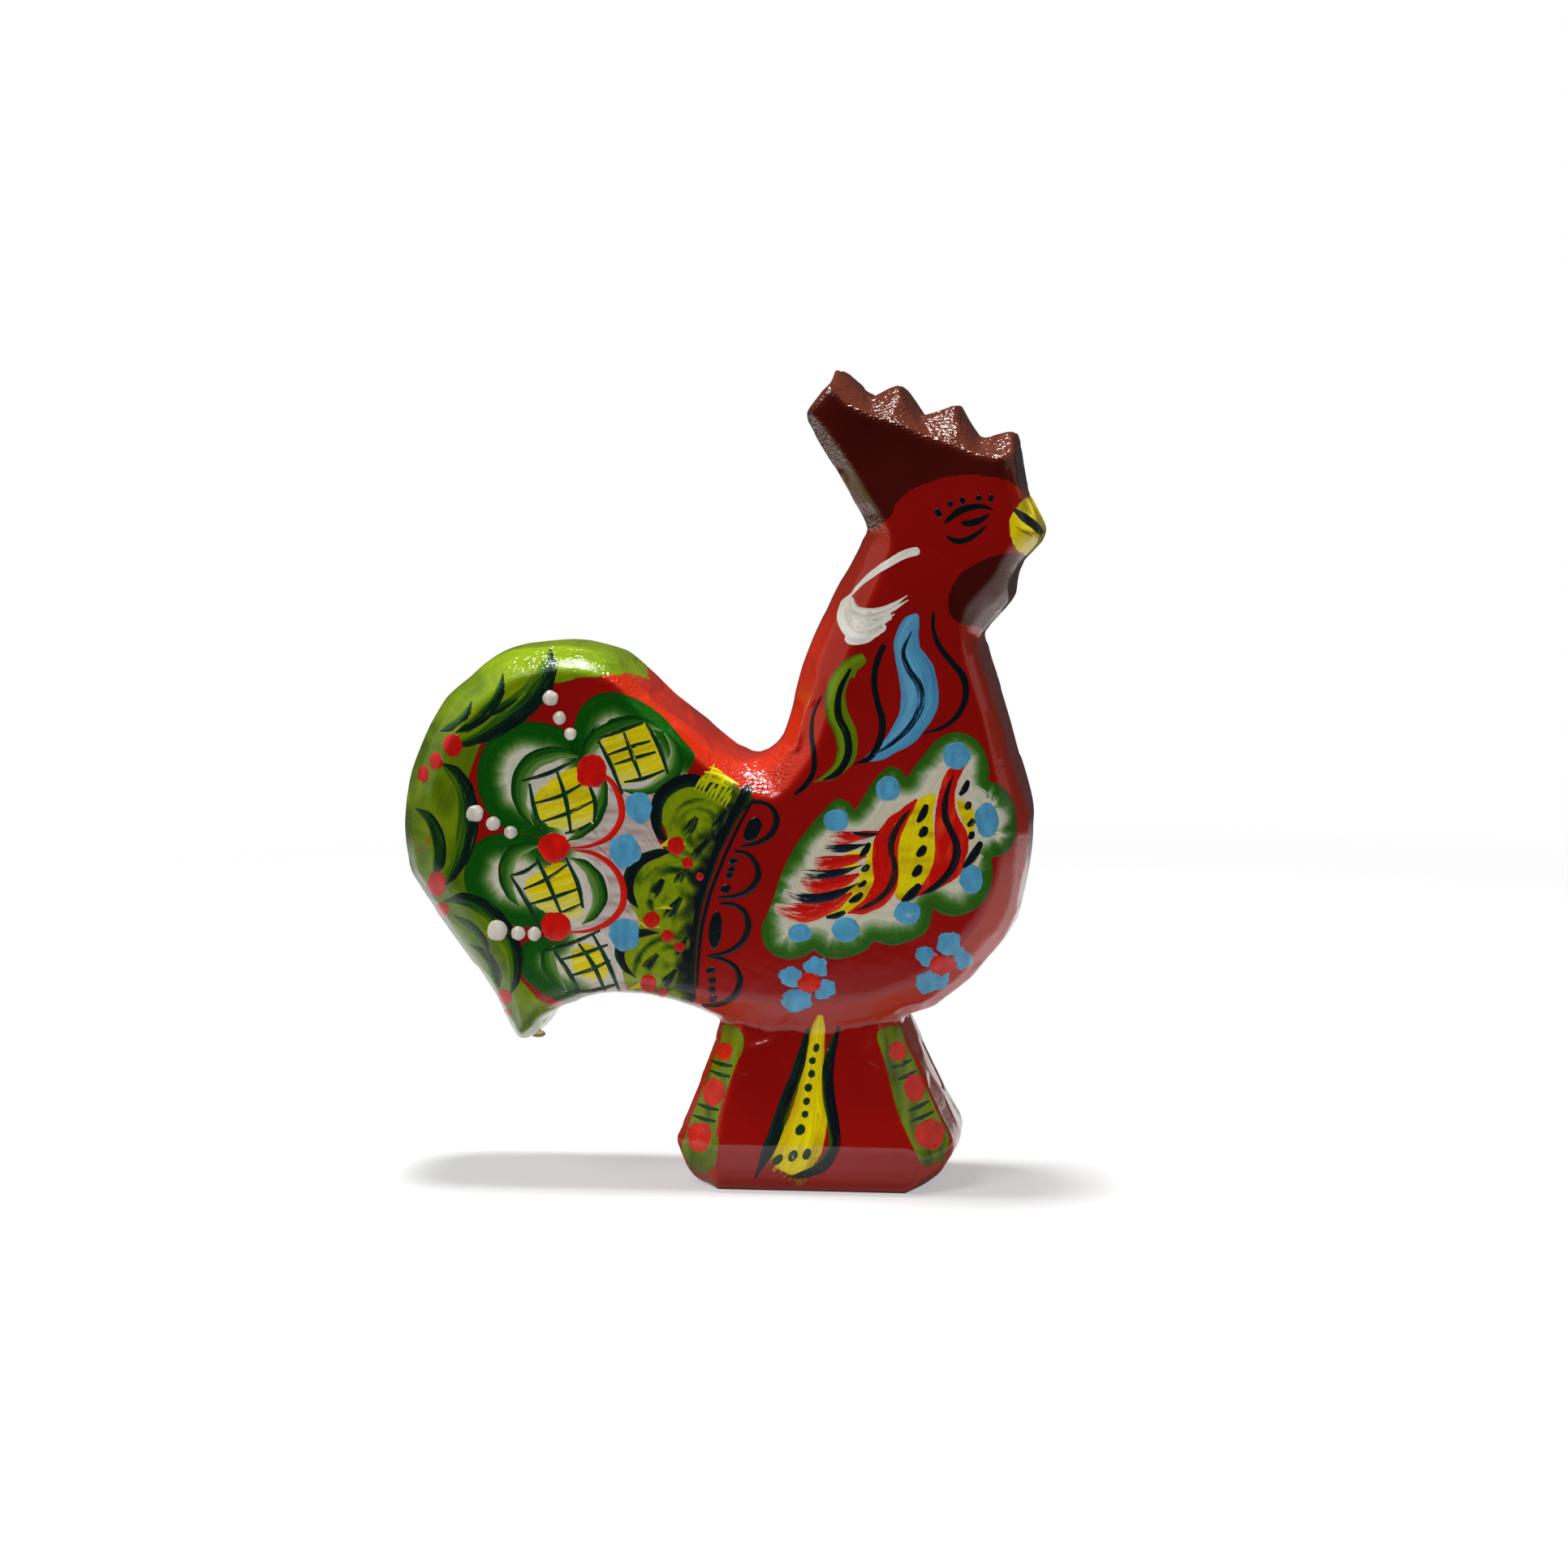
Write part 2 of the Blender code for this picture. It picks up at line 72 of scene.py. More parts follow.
TOWARDS = Vector((
    math.sin(EYE_AROUND) * math.cos(EYE_ABOVE),
    -math.cos(EYE_AROUND) * math.cos(EYE_ABOVE),
    math.sin(EYE_ABOVE),
))
RIGHTWARDS = Vector((math.cos(EYE_AROUND), math.sin(EYE_AROUND), 0.0))
UPWARDS = TOWARDS.cross(RIGHTWARDS)
EYE = AIM + TOWARDS * EYE_DISTANCE


def ray_to(column, row):
    return (
        RIGHTWARDS * ((column - MIDDLE) / FOCAL)
        + UPWARDS * ((MIDDLE - row) / FOCAL)
        - TOWARDS
    )


def on_plane(column, row, y):
    ray = ray_to(column, row)
    point = EYE + ray * ((y - EYE.y) / ray.y)
    return point.x, point.z


# ------------------------------------------------------------------ the block
# outer column and row, inner column and row, kind, and "c" for a sharp corner
PROFILE = [
    (994, 507, 1003, 511, "s", "c"),
    (1001, 497, 1008, 502, "s", "c"),
    (1020, 474, 1026, 481, "s", "c"),
    (1035, 456, 1041, 497, "t", "c"),
    (1056, 474, 1058, 505, "t", ""),
    (1079, 492, 1079, 514, "t", "c"),
    (1094, 484, 1093, 519, "t", ""),
    (1110, 475, 1108, 524, "t", "c"),
    (1124, 496, 1123, 530, "t", ""),
    (1137, 514, 1137, 536, "t", "c"),
    (1160, 507, 1158, 545, "t", ""),
    (1181, 499, 1178, 552, "t", "c"),
    (1195, 524, 1193, 557, "t", ""),
    (1208, 542, 1207, 561, "t", "c"),
    (1231, 537, 1227, 565, "t", ""),
    (1252, 532, 1242, 564, "t", "c"),
    (1260, 560, 1246, 574, "p", ""),
    (1264, 585, 1250, 591, "p", ""),
    (1271, 612, 1258, 616, "p", "c"),
    (1278, 628, 1266, 630, "b", ""),
    (1285, 643, 1272, 643, "b", ""),
    (1288, 652, 1275, 652, "b", "c"),
    (1284, 663, 1270, 660, "b", ""),
    (1274, 674, 1260, 669, "b", ""),
    (1264, 685, 1250, 680, "b", "c"),
    (1256, 699, 1236, 694, "b", ""),
    (1252, 718, 1222, 712, "b", ""),
    (1251, 730, 1211, 726, "b", "c"),
    (1240, 743, 1200, 738, "b", ""),
    (1226, 759, 1188, 752, "b", ""),
    (1214, 775, 1182, 768, "b", "c"),
    (1218, 800, 1190, 795, "b", ""),
    (1230, 838, 1200, 834, "b", ""),
    (1242, 878, 1210, 876, "b", ""),
    (1254, 922, 1219, 922, "b", ""),
    (1266, 962, 1228, 966, "b", ""),
    (1272, 990, 1234, 996, "b", ""),
    (1271, 1035, 1236, 1032, "b", ""),
    (1264, 1080, 1230, 1070, "b", ""),
    (1255, 1118, 1220, 1104, "b", ""),
    (1240, 1150, 1206, 1132, "b", ""),
    (1221, 1174, 1190, 1154, "b", ""),
    (1198, 1202, 1170, 1178, "b", ""),
    (1176, 1221, 1150, 1196, "b", ""),
    (1148, 1240, 1124, 1212, "b", ""),
    (1116, 1251, 1096, 1222, "b", ""),
    (1090, 1265, 1078, 1229, "b", ""),
    (1050, 1280, 1046, 1233, "b", ""),
    (1000, 1284, 1000, 1235, "b", ""),
    (950, 1280, 952, 1234, "b", ""),
    (912, 1265, 918, 1231, "b", ""),
    (884, 1254, 888, 1232, "b", ""),
    (862, 1243, 864, 1226, "b", ""),
    (836, 1234, 838, 1219, "b", ""),
    (808, 1227, 809, 1213, "b", ""),
    (776, 1223, 777, 1209, "b", ""),
    (745, 1224, 744, 1210, "b", ""),
    (712, 1232, 709, 1217, "b", ""),
    (684, 1245, 681, 1230, "n", ""),
    (667, 1259, 663, 1243, "n", ""),
    (659, 1271, 652, 1253, "n", ""),
    (648, 1279, 646, 1259, "n", "c"),
    (637, 1277, 643, 1255, "n", "c"),
    (626, 1254, 641, 1240, "b", ""),
    (609, 1222, 630, 1210, "b", ""),
    (586, 1188, 609, 1175, "b", ""),
    (556, 1147, 581, 1134, "b", ""),
    (533, 1113, 560, 1101, "b", ""),
    (508, 1075, 538, 1066, "b", "c"),
    (501, 1034, 532, 1030, "b", ""),
    (500, 996, 531, 998, "b", ""),
    (506, 958, 536, 967, "b", ""),
    (520, 916, 548, 932, "b", ""),
    (536, 884, 562, 903, "b", ""),
    (557, 853, 581, 876, "b", ""),
    (580, 835, 600, 861, "b", ""),
    (604, 815, 620, 845, "b", ""),
    (628, 803, 640, 833, "b", ""),
    (664, 793, 672, 826, "b", ""),
    (702, 789, 704, 826, "b", ""),
    (742, 792, 736, 832, "b", ""),
    (776, 804, 764, 848, "b", ""),
    (802, 826, 787, 864, "b", ""),
    (834, 857, 814, 889, "b", ""),
    (868, 882, 842, 918, "b", ""),
    (898, 908, 872, 948, "b", ""),
    (922, 922, 902, 971, "b", ""),
    (944, 924, 936, 984, "b", ""),
    (961, 914, 966, 978, "b", ""),
    (974, 884, 1004, 930, "b", ""),
    (982, 850, 1024, 872, "b", ""),
    (994, 808, 1038, 830, "b", ""),
    (1012, 766, 1054, 788, "b", ""),
    (1034, 721, 1072, 744, "b", ""),
    (1056, 680, 1088, 704, "b", ""),
    (1070, 651, 1100, 672, "b", "c"),
    (1066, 640, 1094, 650, "p", ""),
    (1050, 612, 1072, 612, "p", ""),
    (1030, 577, 1052, 577, "p", ""),
    (1010, 544, 1031, 546, "p", ""),
    (997, 521, 1012, 522, "p", ""),
]

PLINTH = [
    (1468, 872, 1128, 0.0176, 884, 1116, 0.0112),
    (1463, 858, 1141, 0.0188, 883, 1122, 0.0122),
    (1446, 845, 1161, 0.0206, 882, 1132, 0.0132),
    (1429, 838, 1171, FOOT_HALF, 882, 1134, 0.0140),
    (1416, 833, 1175, 0.0216, 884, 1127, 0.0142),
    (1402, 840, 1171, 0.0212, 887, 1121, 0.0142),
    (1380, 847, 1160, 0.0205, 891, 1110, 0.0140),
    (1340, 863, 1142, 0.0192, 900, 1099, 0.0130),
    (1300, 878, 1125, 0.0180, 908, 1089, 0.0116),
    (1262, 889, 1109, WAIST_HALF, 915, 1083, 0.0104),
    (1215, 896, 1098, WAIST_HALF, 920, 1078, 0.0100),
]


def outward_normals(points):
    area = sum(
        a[0] * b[1] - b[0] * a[1] for a, b in zip(points, points[1:] + points[:1])
    )
    sign = 1.0 if area > 0 else -1.0
    normals = []
    for i, here in enumerate(points):
        before, after = points[i - 1], points[(i + 1) % len(points)]
        t1 = Vector((here[0] - before[0], here[1] - before[1])).normalized()
        t2 = Vector((after[0] - here[0], after[1] - here[1])).normalized()
        t = (t1 + t2).normalized()
        normals.append((sign * t.y, -sign * t.x))
    return normals


def control_rings():
    """Flat, shoulder, rim and crown of the left half, at the template's points."""
    inner = [on_plane(e[2], e[3], -HALF) for e in PROFILE]
    middle = [on_plane(e[0], e[1], 0.0) for e in PROFILE]
    edges, outer = [], []
    for entry, m, q, n in zip(PROFILE, middle, inner, outward_normals(middle)):
        width = math.hypot(m[0] - q[0], m[1] - q[1])
        kind = entry[4]
        if kind == "s":
            edge = HALF - SQUARE_EDGE
        elif kind == "t":
            edge = COMB_EDGE
        elif kind == "p":
            edge = HALF - min(0.95 * width, BEVEL_DEEPEST)
        else:
            depth = BEVEL_SLOPE * width + 0.0015
            edge = HALF - min(max(depth, BEVEL_LEAST), BEVEL_DEEPEST)
        edges.append(edge)
        facing = (EYE.x - m[0]) * n[0] + (EYE.z - m[1]) * n[1] > 0.0
        depth_y = 0.0 if kind == "t" else edge if facing and kind != "n" else -edge
        outer.append(on_plane(entry[0], entry[1], depth_y))
    rim, crown, shoulder, flat = [], [], [], []
    for entry, p, q, n, edge in zip(
        PROFILE, outer, inner, outward_normals(outer), edges
    ):
        kind = entry[4]
        if kind in "pbn":
            along = (p[0] - q[0]) * n[0] + (p[1] - q[1]) * n[1]
            short = max(0.0, BEVEL_NARROWEST - along)
            q = (q[0] - n[0] * short, q[1] - n[1] * short)
        up = SHOULDER_UP if kind in "bn" else SHOULDER_IN
        proud = CROWN if kind in "bn" else 0.0
        mid = (p[0] + SHOULDER_IN * (q[0] - p[0]), p[1] + SHOULDER_IN * (q[1] - p[1]))
        rim.append((p[0], edge, p[1]))
        crown.append((p[0] + n[0] * proud, 0.0, p[1] + n[1] * proud))
        shoulder.append((mid[0], edge + up * (HALF - edge), mid[1]))
        flat.append((q[0], HALF, q[1]))
    return [np.array(r) for r in (flat, shoulder, rim, crown)]


def rounded(rings, corners, step):
    """Closed rings resampled by Hermite arcs that stay sharp at the corners."""
    rim = rings[2]
    n = len(rim)
    chord = np.linalg.norm(np.roll(rim, -1, 0) - rim, axis=1) + 1e-9
    counts = np.maximum(1, np.round(chord / step).astype(int))
    out = []
    for ring in rings:
        slope = (np.roll(ring, -1, 0) - ring) / chord[:, None]
        before = np.roll(slope, 1, 0)
        d0, d1 = np.roll(chord, 1)[:, None], chord[:, None]
        smooth = (before * d1 + slope * d0) / (d0 + d1)
        leave = np.where(corners[:, None], slope, smooth)
        arrive = np.where(corners[:, None], before, smooth)
        pts = []
        for i in range(n):
            j = (i + 1) % n
            for k in range(counts[i]):
                t = k / counts[i]
                h00 = 2 * t**3 - 3 * t**2 + 1
                h10 = t**3 - 2 * t**2 + t
                h01 = -2 * t**3 + 3 * t**2
                h11 = t**3 - t**2
                pts.append(
                    h00 * ring[i] + h10 * chord[i] * leave[i]
                    + h01 * ring[j] + h11 * chord[i] * arrive[j]
                )
        out.append(np.array(pts))
    return out


def loft(name, rings):
    n = len(rings[0])
    points = [tuple(p) for ring in rings for p in ring]
    faces = []
    for k in range(len(rings) - 1):
        for i in range(n):
            j = (i + 1) % n
            faces.append((k * n + i, k * n + j, (k + 1) * n + j, (k + 1) * n + i))
    last = (len(rings) - 1) * n
    faces.append(tuple(reversed(range(n))))
    faces.append(tuple(range(last, last + n)))
    mesh = bpy.data.meshes.new(name)
    mesh.from_pydata(points, [], faces)
    bm = bmesh.new()
    bm.from_mesh(mesh)
    bmesh.ops.triangulate(bm, faces=[f for f in bm.faces if len(f.verts) > 4])
    bmesh.ops.recalc_face_normals(bm, faces=bm.faces)
    if bm.calc_volume(signed=True) < 0:
        bmesh.ops.reverse_faces(bm, faces=bm.faces)
    bm.to_mesh(mesh)
    bm.free()
    obj = bpy.data.objects.new(name, mesh)
    scene.collection.objects.link(obj)
    return obj


def settled(obj):
    """Replaces an object's mesh by what its modifiers make of it."""
    bpy.context.view_layer.update()
    graph = bpy.context.evaluated_depsgraph_get()
    mesh = bpy.data.meshes.new_from_object(obj.evaluated_get(graph))
    obj.modifiers.clear()
    obj.data = mesh
    return obj


def coords(mesh):
    co = np.empty(len(mesh.vertices) * 3)
    mesh.vertices.foreach_get("co", co)
    return co.reshape(-1, 3)


def vert_normals(mesh):
    n = np.empty(len(mesh.vertices) * 3)
    mesh.vertices.foreach_get("normal", n)
    return n.reshape(-1, 3)


def set_coords(mesh, co):
    mesh.vertices.foreach_set("co", np.ascontiguousarray(co, float).ravel())
    mesh.update()


def edge_pairs(mesh):
    e = np.empty(len(mesh.edges) * 2, int)
    mesh.edges.foreach_get("vertices", e)
    return e.reshape(-1, 2)


def laplacian(co, e, deg):
    out = np.empty_like(co)
    for k in range(3):
        s = np.bincount(e[:, 0], co[e[:, 1], k], len(co))
        s += np.bincount(e[:, 1], co[e[:, 0], k], len(co))
        out[:, k] = s / deg - co[:, k]
    return out


def carve():
    """The block as a fine skin: loft, plinth, even remesh, soft arrises, facets."""
    half = control_rings()
    corners = np.array([e[5] == "c" for e in PROFILE])
    flat, shoulder, rim, crown = rounded(half, corners, 1.3 * MM)
    flip = np.array([1.0, -1.0, 1.0])
    belly = (rim + crown) / 2 + (crown - rim) * np.array([0.22, 0.0, 0.22])
    rings = [flat * flip, shoulder * flip, rim * flip, belly * flip, crown,
             belly, rim, shoulder, flat]
    block = loft("carved_block", rings)

    ground = on_plane(1000, PLINTH[0][0], -PLINTH[0][3])[1]
    foot_rings = []
    for row, left, right, thick, flat_l, flat_r, end in PLINTH:
        z = on_plane(1000, row, -thick)[1] - ground
        xl, xr = (on_plane(c, row, -end)[0] for c in (left, right))
        fl, fr = (on_plane(c, row, -thick)[0] for c in (flat_l, flat_r))
        bow = 0.0006
        foot_rings.append([
            (xl, -end, z), (fl, -thick, z), (fr, -thick, z), (xr, -end, z),
            (xr + bow, 0.0, z), (xr, end, z), (fr, thick, z), (fl, thick, z),
            (xl, end, z), (xl - bow, 0.0, z),
        ])
    foot = loft("foot_guide", [np.array(r) for r in foot_rings])
    union = block.modifiers.new("join", "BOOLEAN")
    union.operation, union.object, union.solver = "UNION", foot, "EXACT"
    settled(block)
    bpy.data.objects.remove(foot)

    even = block.modifiers.new("even", "REMESH")
    even.mode = "VOXEL"
    even.voxel_size = 0.64 * MM
    settled(block)
    mesh = block.data
    e = edge_pairs(mesh)
    co = coords(mesh)
    deg = np.maximum(1, np.bincount(e.ravel(), minlength=len(co)))[:, None].ravel()
    for _ in range(5):
        co = co + 0.55 * laplacian(co, e, deg)
        co = co - 0.57 * laplacian(co, e, deg)
    co = co + 0.5 * laplacian(co, e, deg)
    set_coords(mesh, co)

    # knife facets: shallow flats a few millimetres long, on the rim and bevels only
    nrm = vert_normals(mesh)
    rng = np.random.default_rng(11)
    rim_like = np.abs(co[:, 1]) < HALF - 0.9 * MM
    pool = np.where(rim_like)[0]
    seeds, taken = [], KDTree(len(pool))
    order = rng.permutation(pool)
    stretch = np.array([1.0, 0.62, 1.0])
    kept = []
    for v in order[:5000]:
        p = co[v] * stretch
        if all((p[0] - q[0])**2 + (p[1] - q[1])**2 + (p[2] - q[2])**2 > (6.5 * MM)**2 for q in kept):
            kept.append(p)
            seeds.append(v)
    tree = KDTree(len(seeds))
    for i, v in enumerate(seeds):
        tree.insert(co[v] * stretch, i)
    tree.balance()
    shift = np.zeros(len(co))
    for v in pool:
        _, i, _ = tree.find(co[v] * stretch)
        s = seeds[i]
        d = float(np.dot(co[v] - co[s], nrm[s]))
        if float(np.dot(nrm[v], nrm[s])) > 0.55:
            shift[v] = max(-0.22 * MM, min(0.22 * MM, -0.6 * d))
    fade = np.clip((HALF - 0.9 * MM - np.abs(co[:, 1])) / (1.5 * MM), 0, 1)
    fade *= np.clip((co[:, 2] - 0.4 * MM) / (2 * MM), 0, 1)
    co = co + nrm * (shift * fade)[:, None]
    for _ in range(2):
        co = co + 0.5 * laplacian(co, e, deg)

    # slow waves left by the plane and by the thick varnish
    wave = np.empty(len(co))
    for i, p in enumerate(co):
        a = noise.noise(Vector((p[0] * 70, p[1] * 70, p[2] * 55)))
        b = noise.noise(Vector((p[0] * 210 + 9, p[1] * 210, p[2] * 210)))
        wave[i] = 0.10 * MM * a + 0.022 * MM * b
    co = co + nrm * wave[:, None]
    co[:, 2] = np.maximum(co[:, 2], 0.0)
    flat_foot = co[:, 2] < 0.12 * MM
    co[flat_foot, 2] = 0.0
    set_coords(mesh, co)
    mesh.shade_smooth()
    return block


body = carve()
BODY_CO = coords(body.data)
BODY_N = vert_normals(body.data)
TREE = BVHTree.FromPolygons(
    [tuple(c) for c in BODY_CO], [tuple(p.vertices) for p in body.data.polygons]
)
BODY_POLYS = [tuple(p.vertices) for p in body.data.polygons]


SIDE = {"y": -1.0}


def seat(column, row):
    """Where the eye's line through a drawing point meets the wood, and the
    smooth normal there. The left-hand side is drawn in a mirror."""
    flip = Vector((1.0, -SIDE["y"], 1.0))
    start, ray = EYE * flip, ray_to(column, row).normalized() * flip
    hit, normal, index, _ = TREE.ray_cast(start, ray)
    if hit is None:
        x, z = on_plane(column, row, -0.012)
        hit, normal, index, _ = TREE.find_nearest(Vector((x, 0.012 * SIDE["y"], z)))
    ring = BODY_POLYS[index]
    weights = [1.0 / ((BODY_CO[v] - np.array(hit)).dot(BODY_CO[v] - np.array(hit)) + 1e-8) for v in ring]
    n = sum((BODY_N[v] * w for v, w in zip(ring, weights)), np.zeros(3))
    return np.array(hit), n / np.linalg.norm(n)


# ------------------------------------------------------------------ colours
def lin(rgb):
    c = np.array(rgb, float) / 255.0
    return np.where(c <= 0.04045, c / 12.92, ((c + 0.055) / 1.055) ** 2.4)


RED = (146, 6, 4)
BRIGHT = (206, 14, 6)
DAB_RED = (196, 20, 10)
YELLOW = (238, 218, 4)
LEAF = (98, 126, 2)
LEAF_DARK = (56, 84, 4)
GREEN = (8, 82, 4)
GREEN_MID = (58, 110, 36)
GREEN_DEEP = (4, 42, 12)
INK = (6, 18, 24)
INK_GREEN = (10, 44, 36)
BLUE = (84, 160, 200)
CREAM = (216, 212, 190)
GREY_WHITE = (212, 202, 194)
WHITE = (253, 250, 238)
BROWN = (84, 18, 8)
BROWN_INK = (60, 24, 12)


def blend(a, b, t):
    return tuple(np.array(a) * (1 - t) + np.array(b) * t)


def ramp_at(ramp, t):
    if t <= ramp[0][0]:
        return ramp[0][1]
    for (t0, c0), (t1, c1) in zip(ramp, ramp[1:]):
        if t <= t1:
            return blend(c0, c1, (t - t0) / max(1e-9, t1 - t0))
    return ramp[-1][1]


def fbm(x, y, z=0.0):
    return noise.noise(Vector((x, y, z)))


# ------------------------------------------------------------------ films
class Film:
    """Paint films of one motif, gathered as closed skins in one mesh."""

    def __init__(self):
        self.v, self.f = [], []
        self.paint, self.ground, self.bristle, self.dry = [], [], [], []
        self.lean, self.hug = [], []

    def add(self, points, faces, paint, ground, bristle, dry, lean=None, hug=0.0):
        base = len(self.v)
        self.lean += [tuple(m) for m in lean] if lean is not None else [(0.0, 0.0, 0.0)] * len(points)
        self.hug += [hug if lean is not None else 0.0] * len(points)
        self.v += [tuple(p) for p in points]
        self.f += [tuple(i + base for i in f) for f in faces]
        self.paint += paint
        self.ground += ground
        self.bristle += bristle
        self.dry += dry


LIFT = 0.020 * MM
THICK = 0.050 * MM
SEEN = {"count": 0}


def shell(film, drawn, height, faces, colour, ground, bristle, dry, hug=0.8):
    """A closed film from drawing points: a top at the given heights above the
    wood and an underside just inside it. faces index the drawing points."""
    n = len(drawn)
    top, under, wood = [], [], []
    for (c, r), h in zip(drawn, height):
        p, m = seat(c, r)
        top.append(p + m * h)
        under.append(p - m * 0.12 * MM)
        wood.append(m)
    wood += [-m for m in wood]
    # the way the faces turn, from the drawing: columns right, rows down
    sign = 0.0
    for f in faces:
        (x0, y0), (x1, y1), (x2, y2) = (drawn[f[0]], drawn[f[1]], drawn[f[2]])
        sign += (x1 - x0) * (y2 - y0) - (x2 - x0) * (y1 - y0)
    if (sign > 0) == (SIDE["y"] < 0):
        faces = [tuple(reversed(f)) for f in faces]
    used = {}
    for f in faces:
        for a, b in zip(f, f[1:] + f[:1]):
            used[(a, b)] = used.get((a, b), 0) + 1
    walls = [(a, b) for (a, b) in used if (b, a) not in used]
    out = list(faces)
    out += [tuple(n + i for i in reversed(f)) for f in faces]
    out += [(b, a, n + a, n + b) for a, b in walls]
    live = sorted({i for f in out for i in f})
    index = {v: i for i, v in enumerate(live)}
    pts = [(top + under)[i] for i in live]
    film.add(
        pts,
        [tuple(index[i] for i in f) for f in out],
        [tuple(lin(colour[i % n])) for i in live],
        [tuple(lin(ground[i % n])) if isinstance(ground, list) else tuple(lin(ground)) for i in live],
        [bristle[i % n] for i in live],
        [dry[i % n] for i in live],
        [wood[i] for i in live],
        hug,
    )


def along(points, widths, step):
    """Evenly spaced points, tangents and widths on a smooth curve."""
    p = np.array(points, float)
    w = np.array(widths, float)
    if len(w) != len(p):
        w = np.interp(np.linspace(0, 1, len(p)), np.linspace(0, 1, len(w)), w)
    if len(p) == 2:
        p = np.array([p[0], (p[0] + p[1]) / 2, p[1]])
        w = np.array([w[0], (w[0] + w[1]) / 2, w[1]])
    d = np.linalg.norm(np.diff(p, axis=0), axis=1) + 1e-9
    s = np.concatenate([[0], np.cumsum(d)])
    slope = np.diff(p, axis=0) / d[:, None]
    tang = np.empty_like(p)
    tang[0], tang[-1] = slope[0], slope[-1]
    tang[1:-1] = (slope[:-1] * d[1:, None] + slope[1:] * d[:-1, None]) / (d[1:] + d[:-1])[:, None]
    fine, fw = [], []
    for i in range(len(d)):
        k = max(4, int(d[i] / 0.8))
        for t in np.arange(k) / k:
            h00, h10 = 2 * t**3 - 3 * t**2 + 1, t**3 - 2 * t**2 + t
            h01, h11 = -2 * t**3 + 3 * t**2, t**3 - t**2
            fine.append(h00 * p[i] + h10 * d[i] * tang[i] + h01 * p[i + 1] + h11 * d[i] * tang[i + 1])
            u = t * t * (3 - 2 * t)
            fw.append(w[i] * (1 - u) + w[i + 1] * u)
    fine.append(p[-1])
    fw.append(w[-1])
    fine, fw = np.array(fine), np.array(fw)
    ds = np.linalg.norm(np.diff(fine, axis=0), axis=1)
    s = np.concatenate([[0], np.cumsum(ds)])
    count = max(3, int(round(s[-1] / step)) + 1)
    at = np.linspace(0, s[-1], count)
    q = np.stack([np.interp(at, s, fine[:, k]) for k in (0, 1)], 1)
    ww = np.interp(at, s, fw)
    t = np.gradient(q, axis=0)
    t /= np.linalg.norm(t, axis=1)[:, None] + 1e-9
    return q, t, ww, at


def stroke(film, points, widths, ramp, layer=0, start="round", end="point",
           ground=RED, dry=0.12, ramp_end=None, streak=0.16, ragged=0.0, step=2.6,
           thick=1.0, wobble=0.25):
    """One brush stroke. ramp is [(t, colour)] across it, t from -1 to 1, where
    -1 is to the left of its way on the drawing."""
    SEEN["count"] += 1
    key = SEEN["count"] * 3.17
    q, tang, w, s = along(points, widths, step)
    length = s[-1]
    if not isinstance(ramp, list):
        ramp = [(0.0, ramp)]
    cap = min(w.max() / 2, length / 2.2)
    for name, dist in ((start, s), (end, length - s)):
        if name == "round":
            k = np.clip(dist / max(cap, 1e-6), 0, 1)
            w = w * np.sqrt(np.maximum(0.0, 1 - (1 - k) ** 2))
        elif name == "soft":
            k = np.clip(dist / max(cap * 0.7, 1e-6), 0, 1)
            w = w * (0.55 + 0.45 * np.sqrt(np.maximum(0.0, 1 - (1 - k) ** 2)))
    w = np.maximum(w, 0.9)
    across = int(np.clip(round(w.max() / 2.3), 3, 26))
    border = min(0.35, 0.55 / max(1.0, w.max() / 2))
    ts = np.concatenate([[-1.0], np.linspace(-1 + border, 1 - border, across), [1.0]])
    m = len(ts)
    drawn, colour, bristle, dryness = [], [], [], []
    for i in range(len(q)):
        left = np.array([tang[i][1], -tang[i][0]])
        for t in ts:
            edge = 1.0 + 0.012 * wobble * fbm(s[i] * 0.11, key, 1.0 if t > 0 else 2.0) * 10
            p = q[i] + left * (-t) * w[i] / 2 * edge
            drawn.append((p[0], p[1]))
            shade = fbm(t * 7.0, s[i] * 0.012, key) * streak * 1.6 + fbm(t * 19.0, s[i] * 0.03, key + 5) * streak
            c = ramp_at(ramp, t + shade * 1.2)
            if ramp_end is not None:
                u = np.clip(s[i] / length + 0.5 * shade, 0, 1)
                c = blend(c, ramp_at(ramp_end, t + shade), u * u * (3 - 2 * u))
            c = tuple(np.clip(np.array(c) * (1 + 0.35 * shade), 0, 255))
            colour.append(c)
            bristle.append((s[i] * SQ * 1000, t * w.max() / 2 * SQ * 1000, key))
            tail = np.clip((s[i] / length - 0.55) / 0.45, 0, 1)
            dryness.append(dry + (0.55 * tail if ragged else 0.0))
    keep = np.ones((len(q) - 1, m - 1), bool)
    if ragged:
        for j in range(m - 1):
            t = (ts[j] + ts[j + 1]) / 2
            cut = ragged * (0.5 + 0.9 * fbm(t * 9.0, key, 3.3) + 0.5 * fbm(t * 27.0, key, 8.1))
            for i in range(len(q) - 1):
                if s[i + 1] > length - max(0.0, cut):
                    keep[i, j] = False
    alive = np.zeros((len(q), m), int)
    faces = []
    for i in range(len(q) - 1):
        for j in range(m - 1):
            if keep[i, j]:
                a = i * m + j
                faces.append((a, a + 1, a + m + 1, a + m))
                alive[i, j] += 1
                alive[i + 1, j] += 1
                alive[i, j + 1] += 1
                alive[i + 1, j + 1] += 1
    height = []
    for i in range(len(q)):
        for j, t in enumerate(ts):
            if alive[i, j] < 4:
                height.append(-0.03 * MM)
            else:
                ridge = 0.016 * MM * fbm(t * 13.0, s[i] * 0.02, key)
                height.append(thick * THICK * (1 - 0.35 * t * t) + LIFT * layer + ridge)
    shell(film, drawn, height, faces, colour, ground, bristle, dryness)


